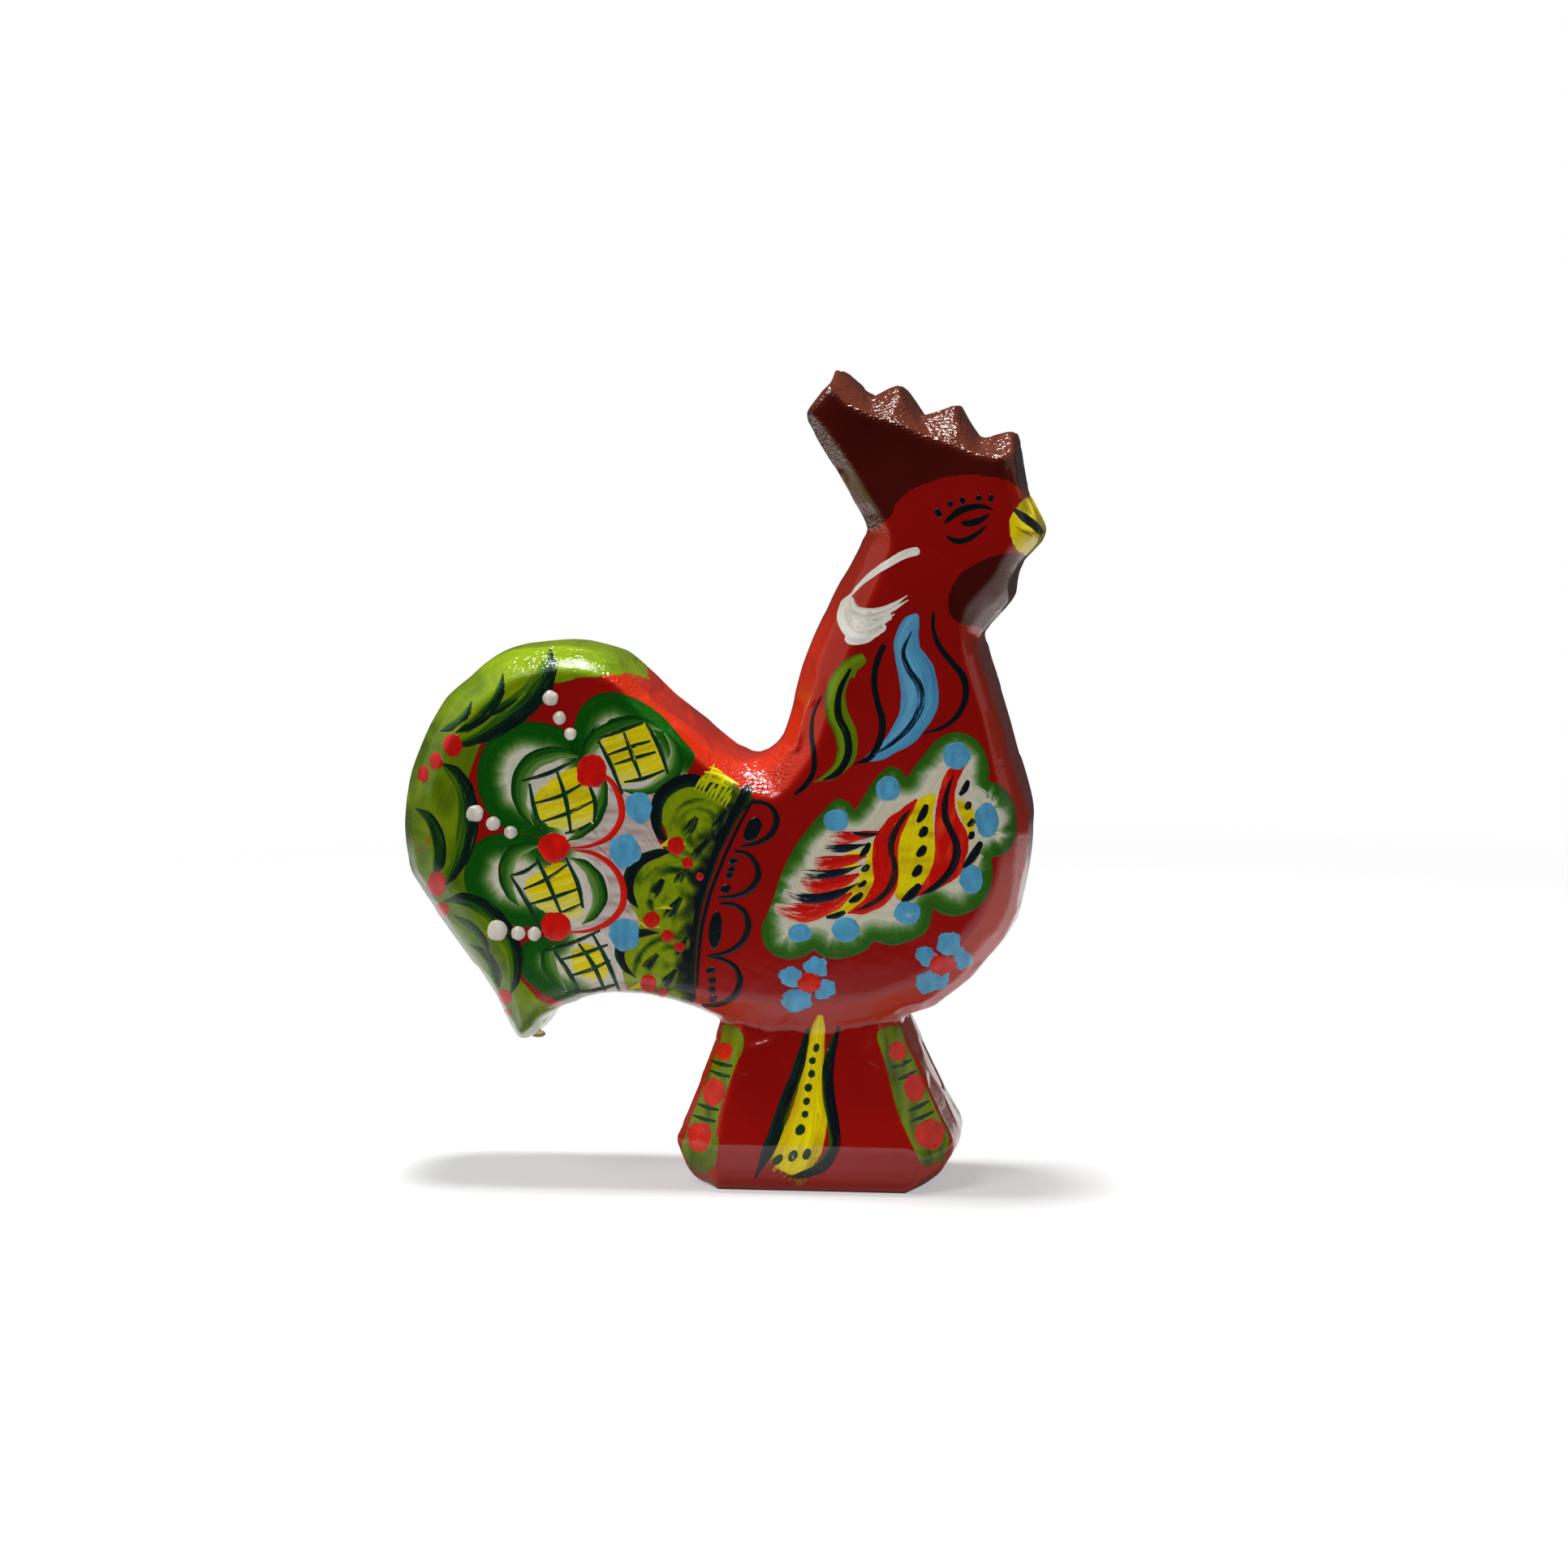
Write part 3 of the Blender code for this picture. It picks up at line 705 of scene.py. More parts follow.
def dab(film, c, r, rx, ry=None, colour=BLUE, turn=0.0, layer=4, dome=0.12, ground=RED,
        rough=0.05, dry=0.06, swirl=0.0, rim=None):
    """A dab of a loaded brush, or a thick bead when dome is high."""
    SEEN["count"] += 1
    key = SEEN["count"] * 2.31
    ry = rx if ry is None else ry
    seg = int(np.clip(round(2 * math.pi * max(rx, ry) / 2.2), 14, 44))
    radii = [0.0, 0.3, 0.55, 0.75, 0.88, 1 - 0.55 / max(2.0, min(rx, ry)), 1.0]
    drawn, height, cols, bristle, dryness = [], [], [], [], []
    ca, sa = math.cos(turn), math.sin(turn)
    for k, rr in enumerate(radii):
        for j in range(seg if k else 1):
            a = 2 * math.pi * j / seg
            out = 1 + rough * 2.2 * fbm(math.cos(a) * 1.3 + key, math.sin(a) * 1.3, key) \
                + rough * 0.8 * fbm(math.cos(a) * 4 + key, math.sin(a) * 4, 3.0)
            x, y = rx * rr * out * math.cos(a), ry * rr * out * math.sin(a)
            x, y = x * ca - y * sa, x * sa + y * ca
            drawn.append((c + x, r + y))
            if rr == 1.0:
                height.append(-0.03 * MM)
            else:
                bump = 0.03 * MM * fbm(x * 0.25 + key, y * 0.25, key)
                height.append(LIFT * layer + THICK + dome * MM * (1 - rr ** 2.4) + bump)
            v = fbm(x * 0.12 + key, y * 0.05, key + 2)
            base = colour if rim is None else blend(colour, rim, max(0.0, rr - 0.45) / 0.55)
            cols.append(tuple(np.clip(np.array(base) * (1 + 0.14 * v), 0, 255)))
            bristle.append((rr * 1.2, a * rr * 0.25, key))
            dryness.append(dry)
    faces = []
    for j in range(seg):
        faces.append((0, 1 + j, 1 + (j + 1) % seg))
    for k in range(len(radii) - 2):
        a0, b0 = 1 + k * seg, 1 + (k + 1) * seg
        for j in range(seg):
            n = (j + 1) % seg
            faces.append((a0 + j, b0 + j, b0 + n, a0 + n))
    shell(film, drawn, height, faces, cols, ground, bristle, dryness, hug=0.0 if dome > 0.3 else 0.55)


def smooth_outline(points, step, closed=True, corners=()):
    p = np.array(points, float)
    n = len(p)
    chord = np.linalg.norm(np.roll(p, -1, 0) - p, axis=1) + 1e-9
    slope = (np.roll(p, -1, 0) - p) / chord[:, None]
    before = np.roll(slope, 1, 0)
    d0, d1 = np.roll(chord, 1)[:, None], chord[:, None]
    smooth = (before * d1 + slope * d0) / (d0 + d1)
    corner = np.zeros(n, bool)
    for i in corners:
        corner[i] = True
    leave = np.where(corner[:, None], slope, smooth)
    arrive = np.where(corner[:, None], before, smooth)
    out = []
    for i in range(n):
        j = (i + 1) % n
        k = max(1, int(round(chord[i] / step)))
        for a in range(k):
            t = a / k
            h00, h10 = 2 * t**3 - 3 * t**2 + 1, t**3 - 2 * t**2 + t
            h01, h11 = -2 * t**3 + 3 * t**2, t**3 - t**2
            out.append(h00 * p[i] + h10 * chord[i] * leave[i] + h01 * p[j] + h11 * chord[i] * arrive[j])
    return np.array(out)


def patch(film, outline, paint, layer=0, ground=RED, dry=0.08, corners=(), grid=2.4,
          streaks="edge", angle=0.0, thick=1.0, fray=0.0):
    """A filled area. paint(c, r, d, s) gives the colour d squares inside the
    outline and s squares along it. streaks run along the edge or at an angle."""
    SEEN["count"] += 1
    key = SEEN["count"] * 1.73
    ring = smooth_outline(outline, 2.4, corners=corners)
    n = len(ring)
    tangent = np.roll(ring, -1, 0) - np.roll(ring, 1, 0)
    tangent /= np.linalg.norm(tangent, axis=1)[:, None] + 1e-9
    area = 0.5 * np.sum(ring[:, 0] * np.roll(ring[:, 1], -1) - np.roll(ring[:, 0], -1) * ring[:, 1])
    inward = np.stack([-tangent[:, 1], tangent[:, 0]], 1) * (1 if area > 0 else -1)
    if fray:
        push = np.array([fbm(i * 0.9, key, 1.0) + 0.6 * fbm(i * 0.31, key, 4.0) for i in range(n)])
        ring = ring + inward * (fray * push)[:, None]
    s_ring = np.concatenate([[0], np.cumsum(np.linalg.norm(np.diff(ring, axis=0), axis=1))])
    inset = ring + inward * 0.6
    lo, hi = ring.min(0), ring.max(0)
    pts = [tuple(p) for p in ring] + [tuple(p) for p in inset]
    xs = np.arange(lo[0] + grid / 2, hi[0], grid)
    ys = np.arange(lo[1] + grid / 2, hi[1], grid)
    gx, gy = np.meshgrid(xs, ys)
    gx[1::2] += grid / 2
    cand = np.stack([gx.ravel(), gy.ravel()], 1)

    # inside test and distance to the outline
    def inside(c):
        x, y = c[:, 0][:, None], c[:, 1][:, None]
        x0, y0 = ring[:, 0][None], ring[:, 1][None]
        x1, y1 = np.roll(ring[:, 0], -1)[None], np.roll(ring[:, 1], -1)[None]
        cross = ((y0 > y) != (y1 > y)) & (x < (x1 - x0) * (y - y0) / (y1 - y0 + 1e-12) + x0)
        return cross.sum(1) % 2 == 1

    cand = cand[inside(cand)]
    dd = np.sqrt(((cand[:, None, :] - ring[None]) ** 2).sum(2))
    cand = cand[dd.min(1) > 1.7]
    pts += [tuple(p) for p in cand]
    edges = [(i, (i + 1) % n) for i in range(n)]
    verts, _, tris, *_ = geometry.delaunay_2d_cdt([Vector(p) for p in pts], edges, [], 1, 1e-5)
    verts = np.array([(v[0], v[1]) for v in verts])
    dist = np.sqrt(((verts[:, None, :] - ring[None]) ** 2).sum(2))
    near = dist.argmin(1)
    d = dist.min(1)
    height, cols, bristle, dryness = [], [], [], []
    ca, sa = math.cos(angle), math.sin(angle)
    for i, (c, r) in enumerate(verts):
        s = s_ring[near[i]]
        height.append(-0.03 * MM if d[i] < 0.12 else thick * THICK + LIFT * layer)
        cols.append(tuple(np.clip(paint(c, r, d[i], s), 0, 255)))
        if streaks == "edge":
            bristle.append((s * SQ * 1000, d[i] * SQ * 1000, key))
        else:
            bristle.append(((c * ca + r * sa) * SQ * 1000, (-c * sa + r * ca) * SQ * 1000, key))
        dryness.append(dry)
    shell(film, [tuple(v) for v in verts], height, [tuple(t) for t in tris], cols, ground, bristle, dryness)


def sheet(x0, y0, scale):
    """A finer drawing sheet laid on the template, as a list converter."""
    return lambda *pairs: [(x0 + a * scale, y0 + b * scale) for a, b in pairs]


# ------------------------------------------------------------------ wrapped coats
def body_triangles():
    tris = []
    for p in BODY_POLYS:
        for k in range(1, len(p) - 1):
            tris.append((p[0], p[k], p[k + 1]))
    return np.array(tris)


TRIS = body_triangles()


def drawn_at(co):
    """Drawing column and row of points of the wood, both sides folded to one."""
    p = co.copy()
    p[:, 1] = -np.abs(p[:, 1])
    rel = p - np.array(EYE)
    depth = -(rel @ np.array(TOWARDS))
    col = MIDDLE + FOCAL * (rel @ np.array(RIGHTWARDS)) / depth
    row = MIDDLE - FOCAL * (rel @ np.array(UPWARDS)) / depth
    return np.stack([col, row], 1)


BODY_PX = drawn_at(BODY_CO)


def signed_to(outline, points):
    """Distance to a closed outline, positive inside, in drawing squares."""
    ring = np.array(outline, float)
    a, b = ring, np.roll(ring, -1, 0)
    ab = b - a
    out = np.empty(len(points))
    for k in range(0, len(points), 4000):
        p = points[k:k + 4000]
        ap = p[:, None] - a[None]
        t = np.clip((ap * ab[None]).sum(2) / ((ab ** 2).sum(1)[None] + 1e-9), 0, 1)
        d = np.linalg.norm(ap - t[..., None] * ab[None], axis=2).min(1)
        x, y = p[:, 0][:, None], p[:, 1][:, None]
        cross = ((a[:, 1][None] > y) != (b[:, 1][None] > y)) & (
            x < ab[:, 0][None] * (y - a[:, 1][None]) / (ab[:, 1][None] + 1e-12) + a[:, 0][None])
        inside = cross.sum(1) % 2 == 1
        out[k:k + 4000] = np.where(inside, d, -d)
    return out


def wrap(film, outline, colour, bristle_of, layer=0, ground=RED, dry=0.05, fray=1.0,
         corners=(), thick=1.2):
    """A coat that goes round the rim from one side to the other."""
    SEEN["count"] += 1
    key = SEEN["count"] * 1.37
    ring = smooth_outline(outline, 5.0, corners=corners)
    lo, hi = ring.min(0) - 12, ring.max(0) + 12
    near = ((BODY_PX > lo) & (BODY_PX < hi)).all(1)
    value = np.full(len(BODY_CO), -50.0)
    value[near] = signed_to(ring, BODY_PX[near])
    idx = np.where(near)[0]
    for i in idx:
        if abs(value[i]) < 9:
            p = BODY_CO[i] * 1000
            value[i] += fray * (fbm(p[0] * 0.35, p[1] * 0.35, p[2] * 0.35 + key) * 1.6
                                + fbm(p[0] * 1.3, p[1] * 1.3, p[2] * 1.3 + key) * 0.7)
    v = value[TRIS]
    n_in = (v > 0).sum(1)
    points, normals, pxs, rimmed = [], [], [], []
    index = {}

    def keep(i):
        if i not in index:
            index[i] = len(points)
            points.append(BODY_CO[i])
            normals.append(BODY_N[i])
            pxs.append(BODY_PX[i])
            rimmed.append(False)
        return index[i]

    def cut(i, j):
        a, b = min(i, j), max(i, j)
        if (a, b) not in index:
            t = value[a] / (value[a] - value[b])
            index[(a, b)] = len(points)
            points.append(BODY_CO[a] * (1 - t) + BODY_CO[b] * t)
            normals.append(BODY_N[a] * (1 - t) + BODY_N[b] * t)
            pxs.append(BODY_PX[a] * (1 - t) + BODY_PX[b] * t)
            rimmed.append(True)
        return index[(a, b)]

    faces = []
    for tri in TRIS[n_in == 3]:
        faces.append(tuple(keep(i) for i in tri))
    for tri in TRIS[(n_in > 0) & (n_in < 3)]:
        loop = []
        for i, j in zip(tri, np.roll(tri, -1)):
            if value[i] > 0:
                loop.append(keep(i))
            if (value[i] > 0) != (value[j] > 0):
                loop.append(cut(i, j))
        faces.append(tuple(loop))
    n = len(points)
    top = [p + m * (-0.03 * MM if r else thick * THICK + LIFT * layer)
           for p, m, r in zip(points, normals, rimmed)]
    under = [p - m * 0.14 * MM for p, m in zip(points, normals)]
    used = set()
    for f in faces:
        for a, b in zip(f, f[1:] + f[:1]):
            used.add((a, b))
    walls = [(a, b) for (a, b) in used if (b, a) not in used]
    out = faces + [tuple(n + i for i in reversed(f)) for f in faces]
    out += [(b, a, n + a, n + b) for a, b in walls]
    cols = [tuple(lin(np.clip(colour(q[0], q[1], p), 0, 255))) for p, q in zip(points, pxs)]
    bris = [bristle_of(q[0], q[1], p) + (key,) for p, q in zip(points, pxs)]
    film.add(top + under, out, cols * 2, [tuple(lin(ground))] * (2 * n), bris * 2, [dry] * (2 * n),
             normals + [-m for m in normals], 0.8)


# ------------------------------------------------------------------ finishes
def node(tree, kind, x=0, y=0, **values):
    made = tree.nodes.new(kind)
    made.location = (x, y)
    for key, value in values.items():
        setattr(made, key, value)
    return made


def math_node(tree, operation, a, b=None, c=None, clamp=False):
    m = node(tree, "ShaderNodeMath", operation=operation, use_clamp=clamp)
    for socket, value in zip(m.inputs, (a, b, c)):
        if value is None:
            continue
        if isinstance(value, (int, float)):
            socket.default_value = value
        else:
            tree.links.new(value, socket)
    return m.outputs[0]


def brush_paint(name, roughness=0.26, bump=0.35, coat=0.85):
    """Oil paint laid on with a soft brush and varnished over: hair streaks
    along the stroke let the coat beneath show where the brush ran dry."""
    m = bpy.data.materials.new(name)
    m.use_nodes = True
    t = m.node_tree
    p = t.nodes["Principled BSDF"]
    paint = node(t, "ShaderNodeAttribute", attribute_name="paint")
    ground = node(t, "ShaderNodeAttribute", attribute_name="ground")
    bristle = node(t, "ShaderNodeAttribute", attribute_name="bristle")
    dry = node(t, "ShaderNodeAttribute", attribute_name="dry")

    def streaks(lengthways, across, detail):
        v = node(t, "ShaderNodeVectorMath", operation="MULTIPLY")
        t.links.new(bristle.outputs["Vector"], v.inputs[0])
        v.inputs[1].default_value = (lengthways, across, 1.0)
        n = node(t, "ShaderNodeTexNoise")
        n.inputs["Scale"].default_value = 1.0
        n.inputs["Detail"].default_value = detail
        n.inputs["Roughness"].default_value = 0.6
        n.inputs["Distortion"].default_value = 0.25
        t.links.new(v.outputs[0], n.inputs["Vector"])
        return n.outputs["Fac"]

    broad = streaks(0.16, 1.5, 3.0)
    fine = streaks(0.5, 6.0, 2.0)
    mixed = math_node(t, "MULTIPLY_ADD", fine, 0.4, math_node(t, "MULTIPLY", broad, 0.6))
    thin = math_node(t, "MULTIPLY_ADD", dry.outputs["Fac"], 0.5, mixed)
    show = math_node(t, "MULTIPLY", math_node(t, "SUBTRACT", thin, 0.66), 7.0, clamp=True)
    mix = node(t, "ShaderNodeMix", data_type="RGBA")
    t.links.new(show, mix.inputs["Factor"])
    t.links.new(paint.outputs["Color"], mix.inputs["A"])
    t.links.new(ground.outputs["Color"], mix.inputs["B"])
    shade = node(t, "ShaderNodeMix", data_type="RGBA", blend_type="MULTIPLY")
    shade.inputs["Factor"].default_value = 1.0
    tone = node(t, "ShaderNodeMapRange")
    tone.inputs["From Min"].default_value = 0.3
    tone.inputs["From Max"].default_value = 0.7
    tone.inputs["To Min"].default_value = 0.80
    tone.inputs["To Max"].default_value = 1.16
    t.links.new(mixed, tone.inputs["Value"])
    t.links.new(mix.outputs["Result"], shade.inputs["A"])
    t.links.new(tone.outputs["Result"], shade.inputs["B"])
    t.links.new(shade.outputs["Result"], p.inputs["Base Color"])
    rough = math_node(t, "MULTIPLY_ADD", fine, 0.22, roughness - 0.11)
    t.links.new(rough, p.inputs["Roughness"])
    b = node(t, "ShaderNodeBump")
    b.inputs["Strength"].default_value = bump
    b.inputs["Distance"].default_value = 0.00010
    t.links.new(mixed, b.inputs["Height"])
    t.links.new(b.outputs["Normal"], p.inputs["Normal"])
    cut = node(t, "ShaderNodeAttribute", attribute_name="knife")
    where = node(t, "ShaderNodeTexCoord")
    grain = node(t, "ShaderNodeTexNoise")
    grain.inputs["Scale"].default_value = 800.0
    grain.inputs["Detail"].default_value = 1.5
    grain.inputs["Roughness"].default_value = 0.65
    t.links.new(where.outputs["Object"], grain.inputs["Vector"])
    crust = node(t, "ShaderNodeBump")
    crust.inputs["Strength"].default_value = 0.5
    crust.inputs["Distance"].default_value = 0.00010
    lumps = math_node(t, "MULTIPLY", grain.outputs["Fac"], cut.outputs["Fac"])
    t.links.new(math_node(t, "MULTIPLY_ADD", lumps, 18.0, math_node(t, "MULTIPLY", mixed, 0.35)), crust.inputs["Height"])
    t.links.new(crust.outputs["Normal"], p.inputs["Coat Normal"])
    p.inputs["Coat Weight"].default_value = coat
    p.inputs["Coat Roughness"].default_value = 0.07
    p.inputs["Specular IOR Level"].default_value = 0.1
    return m


def varnished(name, low, high, edge, crinkle=1.0, coat=1.0):
    """Smooth enamel on carved wood under thick varnish: faint clouding, the
    ripple of the varnish, a painted highlight (a lighter, warmer red) over
    the rounded arrises where they turn to the light, and a crinkle on the
    end grain of the cut edges."""
    m = bpy.data.materials.new(name)
    m.use_nodes = True
    t = m.node_tree
    p = t.nodes["Principled BSDF"]
    where = node(t, "ShaderNodeTexCoord")
    cut = node(t, "ShaderNodeAttribute", attribute_name="knife")

    def cloud(scale, detail, rough=0.5, stretch=(1, 1, 1)):
        v = node(t, "ShaderNodeVectorMath", operation="MULTIPLY")
        t.links.new(where.outputs["Object"], v.inputs[0])
        v.inputs[1].default_value = tuple(scale * k for k in stretch)
        n = node(t, "ShaderNodeTexNoise")
        n.inputs["Scale"].default_value = 1.0
        n.inputs["Detail"].default_value = detail
        n.inputs["Roughness"].default_value = rough
        t.links.new(v.outputs[0], n.inputs["Vector"])
        return n.outputs["Fac"]

    ramp = node(t, "ShaderNodeMix", data_type="RGBA")
    blotch = cloud(38, 4)
    t.links.new(math_node(t, "MULTIPLY", math_node(t, "SUBTRACT", blotch, 0.32), 2.6, clamp=True), ramp.inputs["Factor"])
    ramp.inputs["A"].default_value = (*lin(low), 1)
    ramp.inputs["B"].default_value = (*lin(high), 1)
    # painted highlight: the arrises get the lighter edge colour, more or less with the clouding
    arris = node(t, "ShaderNodeAttribute", attribute_name="arris")
    arris_highlight_mix = node(t, "ShaderNodeMix", data_type="RGBA")
    arris_highlight_amount = math_node(t, "MULTIPLY_ADD", math_node(t, "SUBTRACT", blotch, 0.5), 0.8, 0.92)
    t.links.new(math_node(t, "MULTIPLY", arris.outputs["Fac"], arris_highlight_amount, clamp=True), arris_highlight_mix.inputs["Factor"])
    t.links.new(ramp.outputs["Result"], arris_highlight_mix.inputs["A"])
    arris_highlight_mix.inputs["B"].default_value = (*lin(edge), 1)
    t.links.new(arris_highlight_mix.outputs["Result"], p.inputs["Base Color"])
    peel = cloud(420, 2)
    grain = cloud(1700, 1.5, 0.5, (0.5, 0.65, 1.0))
    height = math_node(t, "MULTIPLY_ADD", math_node(t, "MULTIPLY", grain, cut.outputs["Fac"]), 4.2 * crinkle,
                       math_node(t, "MULTIPLY", peel, 0.45))
    b = node(t, "ShaderNodeBump")
    b.inputs["Strength"].default_value = 0.5
    b.inputs["Distance"].default_value = 0.00010
    t.links.new(height, b.inputs["Height"])
    t.links.new(b.outputs["Normal"], p.inputs["Normal"])
    t.links.new(b.outputs["Normal"], p.inputs["Coat Normal"])
    rough = math_node(t, "MULTIPLY_ADD", blotch, 0.16, 0.22)
    t.links.new(rough, p.inputs["Roughness"])
    p.inputs["Coat Weight"].default_value = coat
    p.inputs["Coat Roughness"].default_value = 0.045
    p.inputs["Specular IOR Level"].default_value = 0.08
    return m


BRUSHED = brush_paint("brushed_paint")
# red enamel; its third colour is the painted highlight on the arrises
ENAMEL = varnished("red_enamel", (144, 6, 2), (160, 11, 4), (190, 40, 7), crinkle=2.2)


def knife_mask(co, px, turned):
    """How roughly the end grain shows: on the cut edges of the comb, the top of
    the tail and the saddle."""
    edge = np.maximum(turned, np.clip((HALF - 0.6 * MM - np.abs(co[:, 1])) / (1.4 * MM), 0, 1))
    zone = np.zeros(len(co))
    for c, r, rx, ry, k in ((1130, 520, 160, 62, 1.0), (720, 815, 115, 55, 1.0),
                            (925, 945, 60, 48, 1.0), (800, 850, 50, 40, 0.6),
                            (1082, 655, 40, 20, 0.8), (625, 830, 60, 40, 0.4)):
        d = ((px[:, 0] - c) / rx) ** 2 + ((px[:, 1] - r) / ry) ** 2
        zone = np.maximum(zone, k * np.clip(1.35 - d, 0, 1))
    return edge * np.maximum(zone, 0.10)


def arris_mask(normals):
    """How far the wood has turned from the flat of the board, 0 to 1."""
    long = np.linalg.norm(normals, axis=1)
    turn = np.abs(normals[:, 1]) / np.maximum(long, 1e-9)
    return np.where(long > 0.5, np.clip((0.97 - turn) / 0.22, 0, 1), 0.0)


def set_attribute(mesh, name, kind, values):
    a = mesh.attributes.new(name, kind, "POINT")
    field = {"FLOAT": "value", "FLOAT_VECTOR": "vector", "FLOAT_COLOR": "color"}[kind]
    a.data.foreach_set(field, np.ascontiguousarray(values, np.float32).ravel())


def lay(film, name, replaced=(), material=None):
    mesh = bpy.data.meshes.new(name)
    mesh.from_pydata(film.v, [], film.f)
    ones = np.ones((len(film.v), 1))
    set_attribute(mesh, "paint", "FLOAT_COLOR", np.hstack([np.array(film.paint), ones]))
    set_attribute(mesh, "ground", "FLOAT_COLOR", np.hstack([np.array(film.ground), ones]))
    set_attribute(mesh, "bristle", "FLOAT_VECTOR", np.array(film.bristle))
    set_attribute(mesh, "dry", "FLOAT", np.array(film.dry))
    co = np.array(film.v)
    set_attribute(mesh, "knife", "FLOAT", knife_mask(co, drawn_at(co), arris_mask(np.array(film.lean))))
    # the arris mask also says where an enamel's painted highlight goes
    set_attribute(mesh, "arris", "FLOAT", arris_mask(np.array(film.lean)))
    mesh.materials.append(material or BRUSHED)
    mesh.shade_smooth()
    own = vert_normals(mesh)
    hug = np.array(film.hug)[:, None]
    turned = own * (1 - hug) + np.array(film.lean) * hug
    turned /= np.linalg.norm(turned, axis=1)[:, None] + 1e-9
    mesh.normals_split_custom_set_from_vertices([tuple(k) for k in turned])
    obj = bpy.data.objects.new(name, mesh)
    scene.collection.objects.link(obj)
    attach(obj, "root")
    for n in replaced:
        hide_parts(n)
    return obj


# ------------------------------------------------------------------ body finish
body.name = "carved_block"
body.data.name = "carved_block"
set_attribute(body.data, "knife", "FLOAT", knife_mask(BODY_CO, BODY_PX, arris_mask(BODY_N)))
# the arris mask also says where the enamel's painted highlight goes
set_attribute(body.data, "arris", "FLOAT", arris_mask(BODY_N))
body.data.materials.clear()
body.data.materials.append(ENAMEL)
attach(body, "root")
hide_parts("carved_body")


# ------------------------------------------------------------------ coats round the rim
def rim_bristle(c, r, p):
    a = math.atan2(r - 1010, c - 730)
    return (a * 200 * SQ * 1000, (math.hypot(c - 730, r - 1010) * SQ + abs(p[1])) * 1000)


def leaf_tone(c, r, p):
    k = fbm(c * 0.02, r * 0.02, 4.0) + 0.5 * fbm(c * 0.07, r * 0.07, 8.0)
    # painted highlight: the green turns lighter towards the top of the tail, where it faces the light above
    top = min(1.0, max(0.0, (905 - r) / 70)) * min(1.0, max(0.0, (c - 560) / 60))
    base = blend(LEAF, (124, 152, 3), top)
    return blend(base, (150, 172, 14) if k > 0 else LEAF_DARK, min(1.0, abs(k) * (0.9 - 0.4 * top)))


tail_rim = Film()
wrap(tail_rim, [
    (834, 852), (820, 842), (800, 836), (770, 830), (740, 833), (700, 840), (665, 847),
    (640, 878), (600, 905), (585, 940), (576, 965), (577, 1040), (585, 1100),
    (600, 1130), (630, 1180), (652, 1218), (672, 1236), (688, 1244), (700, 1262),
    (660, 1310), (610, 1310), (460, 1120), (455, 940), (550, 800), (700, 765),
    (800, 775), (846, 832),
], leaf_tone, rim_bristle, fray=1.5)
lay(tail_rim, "tail_rim_paint", ["tail_rim_coat"])


def comb_bristle(c, r, p):
    return ((c * 0.94 + r * 0.34) * SQ * 1000, (r * 0.94 - c * 0.34) * SQ * 1000 + p[1] * 1000)


# comb enamel; its third colour is the painted highlight on the comb's arrises and top facets
COMB_ENAMEL = varnished("comb_enamel", (60, 5, 2), (80, 13, 4), (88, 32, 8), crinkle=3.2, coat=0.9)
comb = Film()
wrap(comb, [
    (980, 440), (1300, 440), (1300, 612), (1268, 605), (1256, 602), (1245, 594),
    (1220, 588), (1190, 586), (1165, 588), (1140, 597), (1120, 605), (1105, 620),
    (1095, 640), (1080, 651), (1060, 652), (980, 640),
], lambda c, r, p: BROWN, comb_bristle, fray=0.7, thick=1.5)
lay(comb, "comb_paint", ["comb_coat"], COMB_ENAMEL)

wattle = Film()
wrap(wattle, [
    (1275, 690), (1264, 684), (1245, 681), (1222, 685), (1200, 695), (1182, 708),
    (1172, 724), (1168, 742), (1170, 757), (1178, 766), (1192, 771), (1205, 773),
    (1216, 778), (1262, 765),
], lambda c, r, p: blend(BROWN, (120, 52, 30), 0.35 + 0.8 * fbm(c * 0.03, r * 0.03, 2.0)),
    comb_bristle, fray=0.8, thick=1.3)
lay(wattle, "wattle_paint", ["wattle_coat"], COMB_ENAMEL)

beak = Film()
wrap(beak, [
    (1310, 600), (1271, 611), (1260, 616), (1250, 628), (1244, 640), (1243, 655),
    (1246, 668), (1251, 677), (1262, 684), (1275, 692), (1310, 684),
], lambda c, r, p: blend((252, 230, 10), (214, 182, 6), max(0, 0.9 * fbm(c * 0.08, r * 0.08, 1.0))),
    lambda c, r, p: ((c * 0.7 + r * 0.7) * SQ * 1000, (r * 0.7 - c * 0.7) * SQ * 1000 + p[1] * 1000),
    fray=1.2, thick=1.4, dry=0.16)
lay(beak, "beak_paint", ["beak_coat"])


# ------------------------------------------------------------------ motifs of one side
T = sheet(480, 760, 0.3189)
W = sheet(930, 880, 0.21684)
K = sheet(800, 760, 1 / 3.136)


def crescent(film, outer, widths, ramp, middle, layer=1, **more):
    """A loaded stroke whose outer side follows a line, dark side outward."""
    p = np.array(outer, float)
    c = np.array(middle, float)
    k = len(p) // 2
    t = p[min(k + 1, len(p) - 1)] - p[k - 1]
    left = np.array([t[1], -t[0]])
    if np.dot(left, p[k] - c) < 0:
        p = p[::-1]
        widths = list(widths)[::-1]
    w = 1.65 * np.interp(np.linspace(0, 1, len(p)), np.linspace(0, 1, len(widths)), widths)
    g = np.gradient(p, axis=0)
    g /= np.linalg.norm(g, axis=1)[:, None] + 1e-9
    inward = np.stack([-g[:, 1], g[:, 0]], 1)
    line = p + inward * (w / 2)[:, None]
    stroke(film, [tuple(q) for q in line], list(w), ramp, layer=layer, start="none", end="none", **more)


